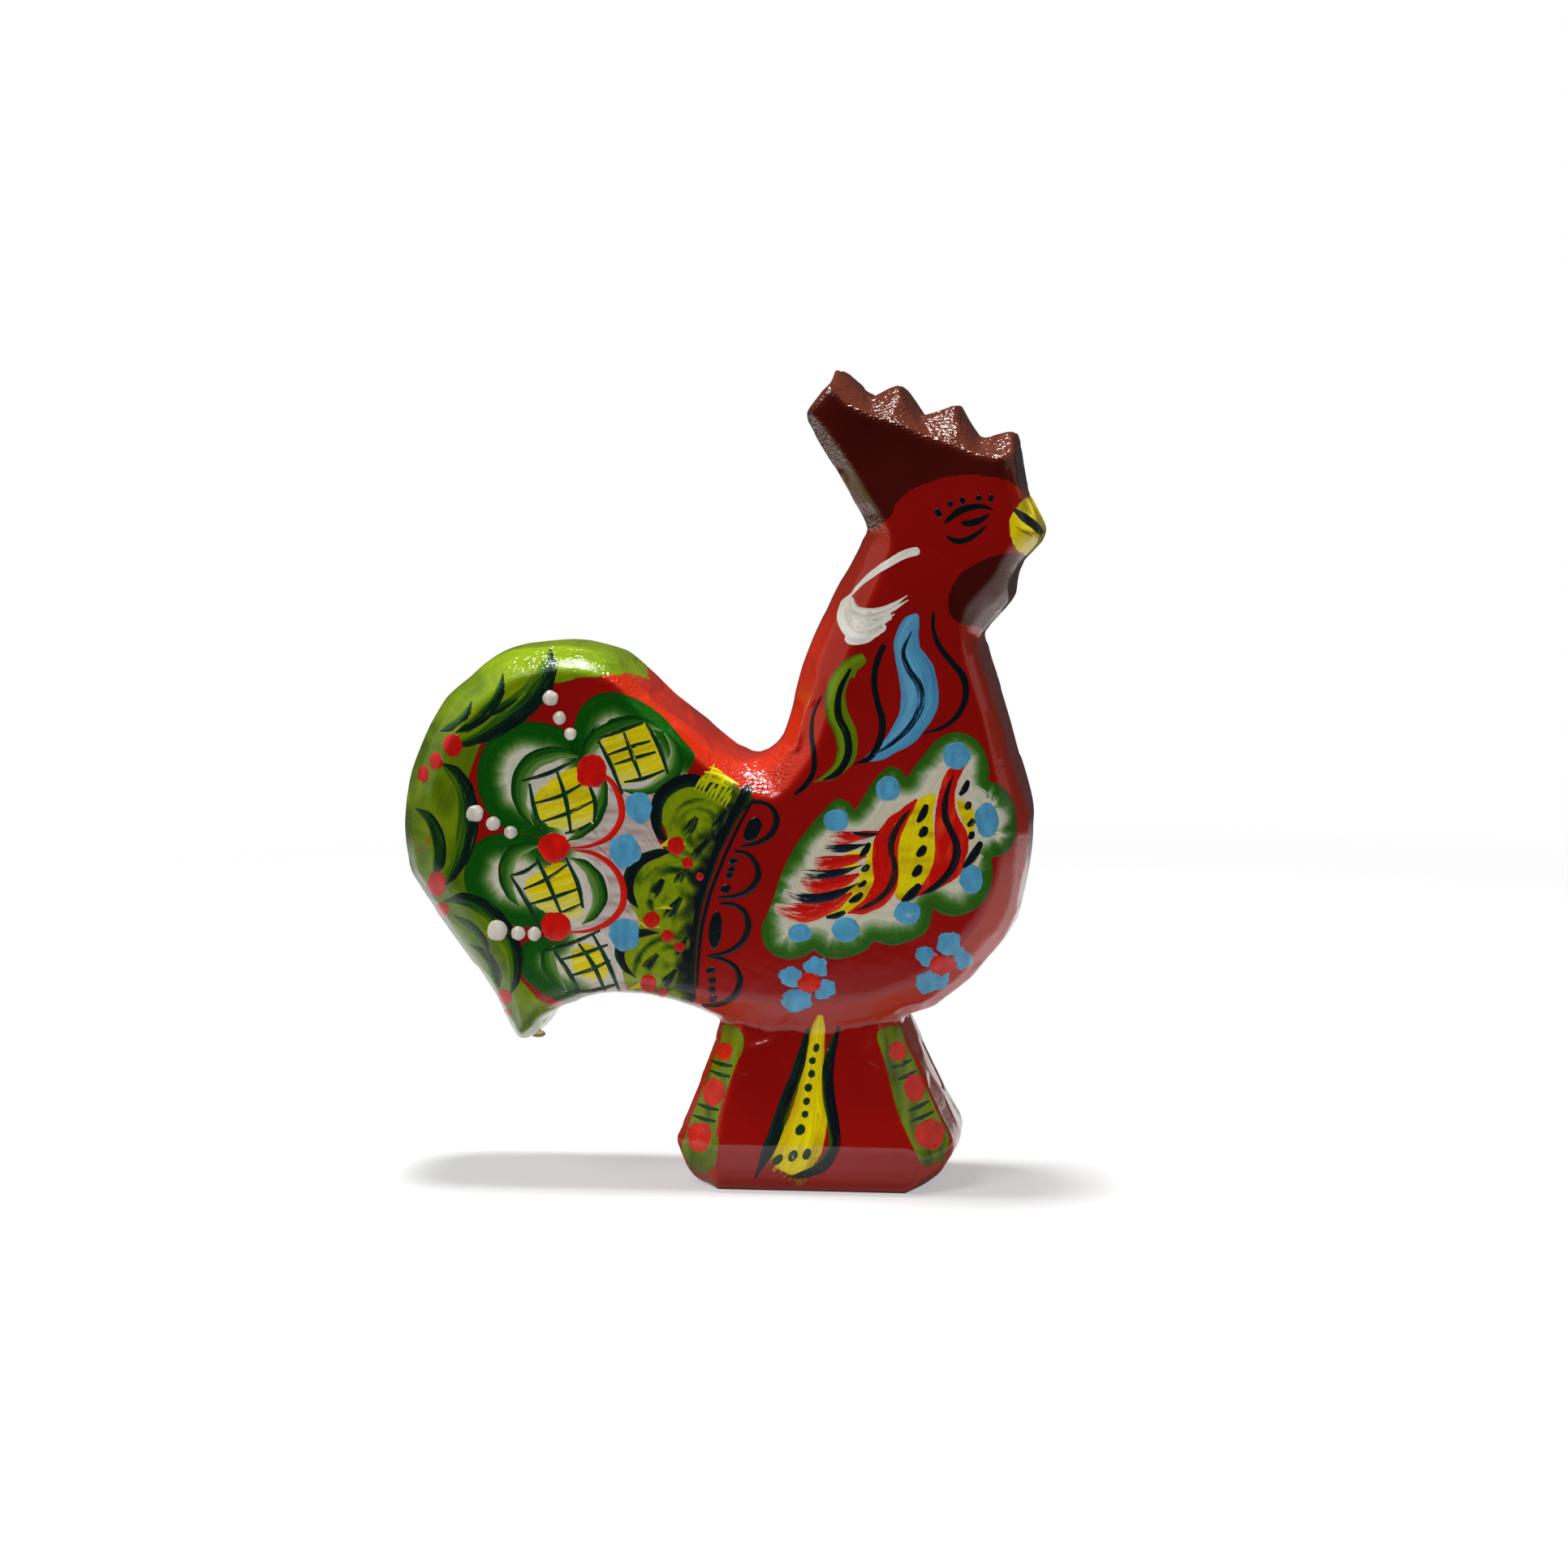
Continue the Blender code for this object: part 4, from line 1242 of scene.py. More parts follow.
PETAL = [(-1.0, GREEN_DEEP), (-0.75, GREEN), (-0.05, GREEN), (0.45, GREEN_MID), (0.8, (150, 172, 120)), (1.0, CREAM)]
INNER = [(-1.0, GREEN_DEEP), (-0.5, GREEN), (0.2, (70, 118, 36)), (1.0, (150, 172, 120))]


def window(film, fill, lines, bars, pale):
    def tone(c, r, d, s):
        k = fbm(c * 0.05 + r * 0.16, r * 0.02, 7.0)
        f = np.clip((r - pale) / 16 + 1.2 * k, 0, 1)
        return blend(YELLOW, (222, 214, 150), 0.65 * f) if f > 0 else blend(YELLOW, (190, 170, 10), max(0, k))
    patch(film, fill, tone, layer=3, streaks="angle", angle=-0.35, dry=0.20, fray=2.2, ground=GREY_WHITE)
    for pts in bars:
        n = len(pts)
        stroke(film, pts, [3.0, 6.0, 3.4] if n < 4 else 5.0, [(-1, GREEN_DEEP), (0.3, INK_GREEN), (1, (14, 84, 44))], layer=5,
               ground=YELLOW, dry=0.16)
    for pts in lines:
        stroke(film, pts, [3.6, 6.6, 4.0], [(-1, (14, 84, 44)), (0.2, INK_GREEN), (1, GREEN_DEEP)], layer=6, ground=YELLOW, dry=0.12)


def tail_flowers(word):
    f = Film()
    # streaky greyish white between the flowers
    def grey(c, r, d, s):
        k = fbm(c * 0.03, r * 0.16, 2.0)
        return blend(GREY_WHITE, (176, 150, 146), np.clip(0.35 + 1.1 * k, 0, 1))
    patch(f, [(742, 938), (772, 962), (800, 980), (824, 976), (838, 962), (846, 952), (850, 960),
              (836, 968), (816, 978), (803, 1002), (810, 1034), (818, 1048), (797, 1054), (780, 1072),
              (775, 1094), (782, 1122), (796, 1146), (776, 1160), (766, 1190), (772, 1221),
              (742, 1222), (702, 1236), (672, 1222), (652, 1190), (672, 1150), (650, 1120), (655, 1060),
              (700, 1040), (660, 1010), (650, 960), (690, 940), (716, 930)],
          grey, layer=0, streaks="angle", angle=0.75, dry=0.24)

    def petal(outer, chord, middle, wide):
        edge = np.array(smooth_outline(outer, 3.0)[:-max(1, int(math.dist(outer[-1], outer[0]) / 3))])
        def tone(c, r, d, s):
            e = np.sqrt(((edge - (c, r)) ** 2).sum(1))
            i = e.argmin()
            k = fbm(i * 0.22, e[i] * 0.02, middle[0] * 0.1) + 0.5 * fbm(i * 0.6, e[i] * 0.05, 3.0)
            x = e[i] / (1.75 * wide) + 0.09 * k
            return ramp_at([(0.0, (10, 66, 8)), (0.12, GREEN), (0.50, GREEN), (0.72, GREEN_MID),
                            (0.92, (150, 166, 120)), (1.10, CREAM), (2.0, GREY_WHITE)], x)
        patch(f, outer + chord, tone, layer=1, dry=0.08)

    # four flowers, each a broad petal round a lattice window
    p1 = T((700, 520), (710, 430), (735, 355), (790, 305), (850, 290), (960, 320), (1050, 380), (1130, 470), (1180, 540))
    petal(p1, T((1150, 600), (1070, 665), (980, 695), (880, 675), (800, 620), (740, 560)), (766, 930), 19)
    crescent(f, T((745, 560), (752, 480), (790, 425), (850, 395), (925, 378), (1000, 395), (1060, 440)),
             [1, 15, 19, 17, 10, 1], INNER, (766, 935), layer=2)
    crescent(f, T((1060, 440), (1120, 500), (1138, 560), (1120, 620), (1060, 668), (980, 692), (880, 668)),
             [1, 9, 14, 12, 8, 1], INNER, (766, 925), layer=2)
    window(f, T((812, 478), (900, 436), (985, 412), (1048, 505), (1062, 592), (960, 640), (900, 650), (850, 580)),
           [T((805, 475), (850, 560), (902, 688)), T((903, 440), (940, 540), (972, 625)), T((984, 398), (1040, 500), (1078, 612))],
           [T((790, 476), (880, 445), (985, 408)), T((838, 535), (940, 500), (1015, 478)), T((862, 572), (950, 545), (1035, 520)),
            T((900, 640), (980, 625), (1068, 590))], 945)

    p2 = T((770, 520), (700, 450), (620, 415), (520, 405), (430, 430), (370, 490), (340, 580), (345, 680), (380, 760), (450, 820), (560, 850))
    petal(p2, T((680, 870), (770, 840), (830, 760), (850, 660), (830, 580)), (682, 965), 19)
    crescent(f, T((740, 540), (680, 505), (610, 500), (530, 530), (480, 595), (468, 680), (495, 755), (560, 815)),
             [1, 12, 15, 15, 12, 1], INNER, (690, 970), layer=2)
    crescent(f, T((820, 590), (845, 660), (842, 730), (812, 800), (752, 850), (680, 872)), [1, 9, 13, 10, 1], INNER, (690, 970), layer=2)
    window(f, T((560, 700), (650, 612), (730, 580), (785, 690), (795, 790), (700, 825), (600, 800)),
           [T((540, 640), (560, 740), (592, 838)), T((645, 590), (680, 700), (702, 840)), T((768, 640), (795, 720), (790, 800))],
           [T((505, 636), (620, 602), (730, 545)), T((555, 722), (660, 692), (755, 640)), T((580, 795), (690, 758), (795, 708)),
            T((672, 838), (735, 822), (785, 792))], 1000)

    p3 = T((620, 880), (560, 850), (480, 838), (400, 840), (330, 880), (295, 950), (288, 1030), (320, 1100), (380, 1160), (480, 1195), (580, 1200))
    petal(p3, T((680, 1210), (760, 1190), (830, 1130), (850, 1040), (800, 950), (720, 900)), (678, 1085), 19)
    crescent(f, T((590, 880), (520, 870), (460, 890), (422, 950), (422, 1020), (450, 1080), (505, 1125)),
             [1, 10, 13, 13, 9, 1], INNER, (680, 1085), layer=2)
    crescent(f, T((690, 925), (770, 945), (830, 1010), (845, 1090), (805, 1160), (740, 1195)), [1, 10, 14, 10, 1], INNER, (680, 1085), layer=2)
    window(f, T((520, 1030), (600, 970), (660, 945), (702, 978), (748, 1090), (742, 1165), (690, 1160), (560, 1115)),
           [T((468, 1000), (530, 1100), (590, 1215)), T((565, 925), (610, 1020), (665, 1150)), T((678, 925), (730, 1040), (748, 1130))],
           [T((462, 1002), (520, 985), (578, 945)), T((512, 1055), (610, 1012), (690, 955)), T((525, 1115), (640, 1082), (745, 1045)),
            T((650, 1146), (700, 1130), (748, 1105))], 1095)

    p4 = T((620, 1235), (560, 1240), (520, 1262), (500, 1330), (515, 1390), (570, 1440), (640, 1480), (700, 1492))
    petal(p4, T((790, 1460), (890, 1440), (900, 1340), (860, 1240), (780, 1200), (700, 1215)), (722, 1195), 18)
    crescent(f, T((640, 1262), (590, 1290), (585, 1350), (625, 1410), (690, 1455)), [1, 10, 12, 9, 1], INNER, (722, 1195), layer=2)
    window(f, T((700, 1300), (770, 1260), (832, 1320), (838, 1395), (760, 1398), (715, 1370)),
           [T((632, 1285), (690, 1370), (742, 1460)), T((728, 1258), (790, 1350), (835, 1450)), T((782, 1220), (845, 1340), (890, 1450))],
           [T((598, 1294), (700, 1262), (818, 1210)), T((662, 1325), (760, 1298), (848, 1265)), T((695, 1388), (780, 1362), (858, 1325)),
            T((712, 1455), (800, 1440), (888, 1416))], 1190)

    for pts, w in ((((735, 950), (752, 962), (764, 985), (766, 1005), (752, 1030), (728, 1042), (700, 1045)), [3, 7, 9, 9, 8, 5, 2]),
                   (((705, 1047), (732, 1052), (755, 1068), (768, 1093), (767, 1115), (752, 1135), (728, 1146), (698, 1149)), [2, 6, 8, 9, 9, 8, 5, 2])):
        stroke(f, pts, w, [(-1, BRIGHT), (1, (228, 40, 20))], layer=4, dry=0.12)
    for x, y, r in ((622, 314, 31), (656, 391, 26), (699, 453, 25), (329, 760, 34), (401, 799, 28), (468, 832, 26),
                    (415, 1212, 40), (497, 1222, 28), (560, 1225, 28)):
        c, q = T((x, y))[0]
        dab(f, c, q, r * 0.3189, colour=(232, 226, 212), layer=5, dome=0.55, rough=0.05, rim=(206, 196, 180))
    for x, y, rx, ry in ((780, 598, 60, 66), (636, 890, 62, 58), (645, 1197, 58, 59)):
        c, q = T((x, y))[0]
        dab(f, c, q, rx * 0.3189, ry * 0.3189, colour=(218, 20, 8), layer=7, dome=0.22, rough=0.07)
    for x, y, rx, ry in ((962, 738, 53, 58), (910, 906, 60, 68), (910, 1225, 60, 65)):
        c, q = T((x, y))[0]
        dab(f, c, q, rx * 0.3189, ry * 0.3189, colour=BLUE, layer=6, dome=0.16, rough=0.09)
    lay(f, f"tail_flowers_paint_{word}", [f"tail_flowers_{word}"])

    # dark leaves on the green border, and their berries
    g = Film()
    flip = [(-1.0, INK), (-0.35, (6, 34, 22)), (0.15, (14, 60, 16)), (0.6, (52, 96, 10)), (1.0, LEAF)]
    for pts, w, r in (
        (T((622, 116), (612, 200), (575, 275), (500, 355), (410, 425), (310, 478), (240, 498)), [2, 16, 22, 22, 18, 10, 2], flip),
        (T((615, 150), (590, 230), (520, 300), (440, 350), (360, 390)), [1, 9, 11, 9, 1], flip),
        (T((440, 212), (425, 290), (370, 370), (300, 425), (250, 450)), [1, 9, 12, 9, 1], flip),
        (T((320, 322), (295, 375), (235, 425), (190, 445)), [1, 8, 8, 1], flip),
        (T((195, 560), (255, 610), (295, 690), (302, 800), (285, 900), (245, 990), (200, 1050)), [2, 13, 17, 18, 16, 10, 1], flip),
        (T((95, 735), (150, 775), (188, 860), (190, 950), (165, 1010)), [1, 9, 12, 11, 1], flip),
        (T((75, 930), (95, 1010), (140, 1065), (190, 1100)), [1, 7, 9, 1], flip),
        (T((200, 1100), (290, 1095), (380, 1140), (440, 1215), (482, 1310), (482, 1400), (462, 1470)), [1, 13, 17, 17, 15, 10, 1], flip),
        (T((300, 1260), (370, 1310), (412, 1390), (425, 1440)), [1, 10, 11, 1], flip),
        (T((240, 1150), (310, 1190), (360, 1250), (390, 1320)), [1, 7, 8, 1], flip),
    ):
        stroke(g, pts, [1.5 * k for k in w], r, layer=2, ground=LEAF, dry=0.16, start="none", end="none", streak=0.34)
    for x, y, rx, ry in ((245, 497, 38, 44), (180, 557, 26, 34), (132, 607, 22, 33), (183, 1030, 36, 46), (203, 1130, 27, 30),
                         (443, 1470, 30, 32), (458, 1528, 16, 14)):
        c, q = T((x, y))[0]
        dab(g, c, q, rx * 0.3189, ry * 0.3189, colour=DAB_RED, layer=4, dome=0.14, rough=0.08, ground=LEAF)
    lay(g, f"tail_leaves_paint_{word}")


def hackle(word):
    f = Film()
    collar = np.array(smooth_outline([(924, 967), (910, 994), (891, 1031), (874, 1074), (862, 1114), (856, 1152), (852, 1236)], 4.0)[:-66])
    def ground(c, r, d, s):
        k = fbm(c * 0.03, r * 0.05, 3.0) + 0.4 * fbm(c * 0.12, r * 0.1, 5.0)
        near = np.sqrt(((collar - (c, r)) ** 2).sum(1)).min()
        cx, cy = min(((862, 1014), (832, 1098), (826, 1192)), key=lambda q: (q[0] - c) ** 2 + (q[1] + 6 - r) ** 2)
        a, far = math.atan2(r - cy - 10, c - cx), math.hypot(c - cx, r - cy - 10)
        hair = (fbm(far * 0.10, a * 0.8, cy) * 1.3 + fbm(far * 0.42, a * 1.1, cy) * 0.32) * min(1.0, far / 26)
        tone = blend((134, 156, 6), GREEN_DEEP, np.clip(0.06 + hair + 0.5 * k, 0, 1))
        return blend(tone, INK, np.clip(1.15 - near / 22 + 0.8 * k, 0, 1))
    patch(f, [(880, 952), (905, 966), (926, 984), (910, 1008), (890, 1048), (873, 1095), (860, 1140), (855, 1190),
              (853, 1236), (820, 1228), (776, 1222), (766, 1192), (776, 1158), (788, 1140), (776, 1112), (773, 1086),
              (794, 1064), (818, 1052), (822, 1030), (812, 1004), (820, 978), (842, 968), (862, 962)],
          ground, layer=1, streaks="angle", angle=1.0, dry=0.14, fray=1.0)
    ink = [(-1.0, INK), (0.3, INK), (0.75, (18, 50, 30)), (1.0, GREEN_DEEP)]
    for pts, w in (
        (T((1280, 640), (1235, 655), (1170, 632), (1100, 648), (1048, 695), (1030, 770), (1045, 840), (1090, 885)), [2, 14, 17, 18, 17, 15, 11, 1]),
        (T((965, 1130), (935, 1090), (922, 1025), (955, 955), (1030, 915), (1105, 905)), [1, 10, 15, 16, 12, 1]),
        (T((960, 1400), (905, 1350), (888, 1300), (905, 1245), (975, 1222), (1050, 1222)), [1, 9, 13, 14, 11, 1]),
    ):
        stroke(f, pts, w, [(-t, c) for t, c in reversed(ink)], layer=3, start="none", end="none", ground=GREEN_DEEP, dry=0.12)
    for pts, w in (
        (T((1190, 770), (1160, 815), (1120, 860)), [7, 14, 12]), (T((1240, 850), (1190, 910), (1160, 960)), [6, 13, 10]),
        (T((1300, 740), (1270, 790), (1240, 850)), [6, 12, 9]), (T((1060, 1010), (1030, 1055), (1000, 1100)), [7, 13, 11]),
        (T((1130, 1080), (1085, 1140), (1050, 1180)), [6, 14, 11]), (T((1160, 960), (1120, 1010), (1100, 1060)), [5, 11, 8]),
        (T((1040, 1300), (1000, 1345), (975, 1385)), [6, 12, 10]), (T((1110, 1360), (1070, 1410), (1040, 1445)), [6, 12, 9]),
        (T((1150, 1230), (1120, 1290), (1090, 1330)), [5, 10, 7]),
    ):
        stroke(f, pts, w, [(-1, INK_GREEN), (0.4, INK), (1, GREEN_DEEP)], layer=4, start="soft", end="soft", ground=LEAF, dry=0.26, streak=0.3, ragged=9)
    for pts, w in ((T((1215, 600), (1250, 606), (1300, 625), (1350, 650)), [2, 6, 7, 2]), (T((1200, 628), (1250, 632), (1310, 660)), [2, 6, 2]), (T((1235, 580), (1260, 590), (1290, 605)), [1, 4, 1]),
                   (T((1040, 890), (1090, 870), (1150, 880)), [2, 10, 2]), (T((960, 1180), (1000, 1190), (1050, 1200)), [2, 9, 2]),
                   (T((925, 1435), (980, 1425), (1010, 1440)), [2, 8, 2]), (T((1020, 1130), (1060, 1120), (1100, 1130)), [1, 7, 1])):
        stroke(f, pts, w, (226, 204, 10), layer=5, start="none", end="none", ground=LEAF, dry=0.34, streak=0.2)
    for x, y, rx, ry in ((1107, 884, 35, 36), (1152, 950, 24, 24), (1200, 1005, 16, 16), (1013, 1173, 33, 34), (1075, 1233, 26, 24),
                         (1122, 1275, 22, 20), (1000, 1418, 34, 34), (1055, 1450, 20, 20)):
        c, q = T((x, y))[0]
        dab(f, c, q, rx * 0.3189, ry * 0.3189, colour=DAB_RED, layer=6, dome=0.14, rough=0.08, ground=LEAF)
    for k, reach in enumerate((1.0, 0.55, 1.15, 0.7, 0.4, 1.05, 0.6, 0.85, 0.45)):
        x, y = 857 + 4.8 * k, 966 + 2.6 * k
        dx, dy = (17 + 5 * math.sin(k * 2.3)) * reach, (-21 + 6 * math.cos(k * 1.7)) * reach
        stroke(f, [(x - 3, y + 9), (x + 0.45 * dx, y + 0.35 * dy), (x + dx, y + dy)],
               [1.2, 4 + 2.5 * reach, 1], [(-1, (150, 176, 8)), (0, (206, 206, 12)), (1, (168, 188, 8))], layer=4.5, start="none", end="none",
               ground=LEAF, dry=0.24, streak=0.2)
    # the collar's dark band, its thin line and four open loops
    stroke(f, K((388, 650), (345, 735), (285, 850), (232, 985), (195, 1110), (175, 1230), (160, 1460)), [14, 13, 11, 9, 8, 9, 10],
           [(-1, (20, 60, 20)), (-0.3, INK), (1, INK)], layer=6, start="soft", end="soft", dry=0.10)
    stroke(f, K((405, 700), (350, 800), (290, 930), (240, 1060), (208, 1180), (190, 1330), (185, 1440)), [3, 4, 4.5, 5, 5, 4, 3], INK, layer=6, dry=0.05)
    for pts, w in (
        (K((395, 718), (440, 718), (478, 745), (492, 790), (472, 838), (425, 872), (352, 888)), [5, 5, 6, 8, 8, 6, 3]),
        (K((325, 905), (375, 915), (412, 955), (420, 1005), (395, 1048), (340, 1078), (262, 1086)), [4, 5, 7, 8, 8, 6, 3]),
        (K((270, 1110), (325, 1112), (368, 1142), (382, 1195), (360, 1255), (305, 1295), (222, 1312)), [4, 5, 7, 8, 8, 6, 3]),
        (K((225, 1312), (285, 1325), (335, 1360), (350, 1412), (328, 1465), (275, 1495), (200, 1502)), [4, 5, 7, 8, 8, 6, 3]),
    ):
        stroke(f, pts, w, [(-1, INK), (1, (16, 30, 30))], layer=6, dry=0.06)
    for x, y, rx, ry, turn in ((400, 822, 30, 52, 0.5), (255, 1215, 25, 75, 0.08)):
        c, q = K((x, y))[0]
        dab(f, c, q, rx * 0.319, ry * 0.319, colour=INK, turn=turn, layer=6, dome=0.06, rough=0.07)
    for x, y, rx, ry in ((325, 943, 20, 13), (318, 975, 17, 12), (310, 1000, 15, 14), (295, 1052, 22, 17),
                         (238, 1366, 20, 14), (243, 1405, 16, 14), (243, 1440, 15, 13), (246, 1475, 18, 13)):
        c, q = K((x, y))[0]
        dab(f, c, q, rx * 0.319, ry * 0.319, colour=INK, turn=-0.3, layer=6, dome=0.06)
    lay(f, f"hackle_band_paint_{word}", [f"hackle_band_{word}"])


def wing(word):
    f = Film()
    outline = [(946, 1124), (952, 1108), (962, 1078), (984, 1036), (1017, 997), (1032, 984), (1045, 988), (1053, 998), (1060, 988),
               (1073, 967), (1086, 951), (1098, 944), (1110, 949), (1117, 958), (1127, 944), (1138, 930), (1155, 911), (1175, 902),
               (1197, 907), (1213, 925), (1219, 948), (1219, 962), (1232, 967), (1247, 984), (1253, 1010), (1250, 1036), (1239, 1052),
               (1222, 1057), (1223, 1082), (1216, 1105), (1199, 1122), (1175, 1129), (1160, 1126), (1150, 1120), (1142, 1147),
               (1121, 1160), (1099, 1165), (1077, 1160), (1068, 1170), (1047, 1179), (1028, 1182), (1012, 1178), (1003, 1171),
               (992, 1178), (973, 1182), (954, 1177), (941, 1163), (938, 1144)]
    closed = smooth_outline(outline, 3.0, corners=(7, 13, 21, 27, 33, 37, 42))
    open_at = np.array([(948, 1118), (955, 1098), (962, 1080)])
    def tone(c, r, d, s):
        e = np.sqrt(((closed - (c, r)) ** 2).sum(1))
        i = e.argmin()
        here = closed[i]
        gap = np.sqrt(((open_at - here) ** 2).sum(1)).min()
        low = np.clip((r - 1040) / 60, 0, 1)
        wide = 21 + 8 * low
        k = fbm(i * 0.2, e[i] * 0.03, 5.0) + 0.6 * fbm(i * 0.7, e[i] * 0.06, 2.0)
        right = np.clip((c - 1205) / 20, 0, 1) * np.clip((1060 - r) / 20, 0, 1) * np.clip((r - 950) / 20, 0, 1)
        x = e[i] / wide + (0.22 + 0.35 * right) * k + 0.45 * np.clip(1 - gap / 22, 0, 1)
        return ramp_at([(0.0, (38, 92, 16)), (0.40, (48, 104, 22)), (0.62, (92, 132, 66)), (0.84, (158, 176, 140)), (1.05, CREAM), (1.6, (216, 208, 184))], x)
    patch(f, outline, tone, layer=0, dry=0.07, corners=(7, 13, 21, 27, 33, 37, 42))
    yellow = lambda c, r, d, s: blend(YELLOW, (200, 165, 8), np.clip(0.2 + 1.3 * fbm(c * 0.02, r * 0.09, 4.0), 0, 1))
    red = lambda c, r, d, s: blend(BRIGHT, (226, 70, 34), np.clip(1.6 * fbm(c * 0.10, r * 0.03, 6.0), 0, 0.8))
    patch(f, W((745, 635), (700, 720), (690, 810), (688, 900), (675, 990), (645, 1065), (590, 1110), (500, 1135), (390, 1145),
               (440, 1085), (410, 1060), (470, 1020), (540, 990), (600, 900), (640, 800), (680, 700)), yellow, layer=1, streaks="angle", angle=-0.9, dry=0.2, fray=1.2, ground=CREAM)
    for pts, w in ((W((640, 790), (570, 795), (500, 805)), [10, 9, 2]), (W((600, 865), (500, 872), (420, 885)), [10, 9, 2]),
                   (W((560, 960), (470, 975), (390, 1000)), [12, 10, 2])):
        stroke(f, pts, w, YELLOW, layer=1, ground=CREAM, dry=0.2)
    # the two red bands, the yellow ones between them, and their black edges
    patch(f, W((1025, 450), (1015, 560), (1020, 660), (1025, 760), (1015, 860), (985, 930), (940, 990), (880, 1050), (810, 1055),
               (790, 985), (800, 880), (800, 780), (800, 690), (840, 600), (895, 520), (960, 465)), yellow, layer=2, streaks="angle", angle=-1.3, dry=0.12, fray=0.8)
    stroke(f, W((925, 478), (862, 555), (795, 635), (748, 735), (742, 850), (745, 955), (702, 1035), (625, 1098), (520, 1132)),
           [3, 14, 25, 32, 33, 31, 27, 16, 2], [(-1, (226, 40, 18)), (-0.3, BRIGHT), (1, BRIGHT)], layer=3, start="none", end="none", dry=0.08, ground=YELLOW)
    stroke(f, W((890, 530), (830, 610), (783, 700), (775, 790), (795, 860), (788, 940), (740, 1020), (660, 1080), (560, 1120)),
           [2, 8, 10, 9, 9, 10, 9, 7, 1], [(-1, (70, 20, 10)), (0, (34, 22, 16)), (1, INK_GREEN)], layer=4, dry=0.2, ground=BRIGHT, start="none", end="none")
    patch(f, W((1215, 270), (1160, 288), (1100, 312), (1072, 360), (1050, 430), (1030, 520), (1020, 640), (1022, 740), (1015, 830), (990, 900),
               (960, 950), (895, 1045), (1000, 1015), (1100, 962), (1170, 910), (1197, 830), (1216, 760), (1210, 680),
               (1180, 620), (1150, 560), (1138, 470), (1150, 400), (1180, 330)), red, layer=3, streaks="angle", angle=-1.25, dry=0.06, fray=0.8,
          corners=(0, 11))
    stroke(f, W((1135, 335), (1097, 430), (1080, 520), (1087, 600), (1115, 662), (1143, 725), (1148, 790), (1128, 860), (1080, 930), (1010, 990), (930, 1030)),
           [1, 6, 9, 9, 9, 10, 11, 11, 10, 8, 1], [(-1, (20, 30, 40)), (0.2, INK), (1, (60, 12, 14))], layer=5, dry=0.12, ground=BRIGHT, start="none", end="none")
    patch(f, W((1150, 480), (1190, 500), (1238, 540), (1256, 600), (1242, 665), (1220, 692), (1198, 650), (1178, 600), (1155, 540)),
          yellow, layer=4, streaks="angle", angle=-1.0, dry=0.12, fray=1.0)
    # left-hand feathers: red strokes fanning out, each with a dark one below
    for pts, w in ((W((725, 668), (610, 688), (500, 703), (400, 698)), [4, 11, 17, 12]),
                   (W((640, 800), (530, 830), (410, 850), (305, 845)), [4, 14, 20, 13]),
                   (W((600, 905), (500, 950), (370, 975), (225, 945)), [4, 15, 21, 12]),
                   (W((560, 1010), (440, 1085), (280, 1128), (80, 1090)), [4, 17, 26, 10])):
        stroke(f, pts, w, [(-1, (228, 60, 30)), (0, BRIGHT), (1, (190, 16, 10))], layer=3, start="none", end="soft", dry=0.10, ragged=5, ground=CREAM)
    for pts, w in ((W((725, 678), (640, 686), (520, 668)), [1, 7, 3]), (W((655, 735), (500, 762), (370, 758)), [1, 11, 7]),
                   (W((620, 855), (450, 905), (330, 910), (245, 893)), [1, 11, 12, 5]), (W((600, 955), (440, 1030), (300, 1046), (145, 998)), [1, 12, 13, 5])):
        stroke(f, pts, w, [(-1, (16, 34, 60)), (1, INK)], layer=4, start="none", end="soft", dry=0.12, ragged=4, ground=CREAM)
    for a, b, w in (((980, 505), (920, 620), 45), ((975, 630), (930, 700), 50), ((970, 740), (915, 810), 50), ((945, 850), (890, 925), 50),
                    ((945, 960), (830, 1070), 55), ((655, 725), (590, 815), 38), ((650, 850), (600, 890), 38), ((635, 940), (580, 980), 30),
                    ((615, 1010), (530, 1070), 42), ((520, 1120), (400, 1155), 35), ((1215, 370), (1160, 465), 38), ((1220, 490), (1190, 545), 40),
                    ((1250, 585), (1200, 640), 38), ((1235, 655), (1215, 715), 38), ((1290, 720), (1180, 880), 50)):
        m = ((a[0] + b[0]) / 2 + 6, (a[1] + b[1]) / 2 + 6)
        k = w * 0.21684
        stroke(f, W(a, m, b), [k * 0.7, k * 1.05, k * 0.55], [(-1, INK), (0.6, INK), (1, GREEN_DEEP)], layer=6, start="round", end="round",
               ground=YELLOW, dry=0.08)
    for k, (pts, w) in enumerate(((W((1235, 415), (1290, 440), (1350, 500)), [9, 8, 2]), (W((1245, 470), (1300, 510), (1345, 560)), [8, 7, 2]),
                                  (W((1260, 660), (1330, 690), (1400, 690)), [6, 9, 2]), (W((1290, 790), (1260, 850), (1200, 900)), [8, 7, 2]))):
        stroke(f, pts, w, (222, 216, 196), layer=2, dry=0.34, ground=GREEN_MID, start="soft", end="none", ragged=6)
    for x, y, rx, ry in ((1145, 237, 80, 75), (757, 423, 71, 71), (462, 600, 74, 65), (1318, 600, 68, 98), (1230, 940, 68, 84),
                         (867, 1130, 78, 68), (515, 1225, 84, 70), (255, 1243, 68, 56)):
        c, q = W((x, y))[0]
        dab(f, c, q, rx * 0.21684, ry * 0.21684, colour=BLUE, layer=7, dome=0.10, rough=0.06, ground=CREAM)
    lay(f, f"wing_paint_{word}", [f"wing_{word}"])


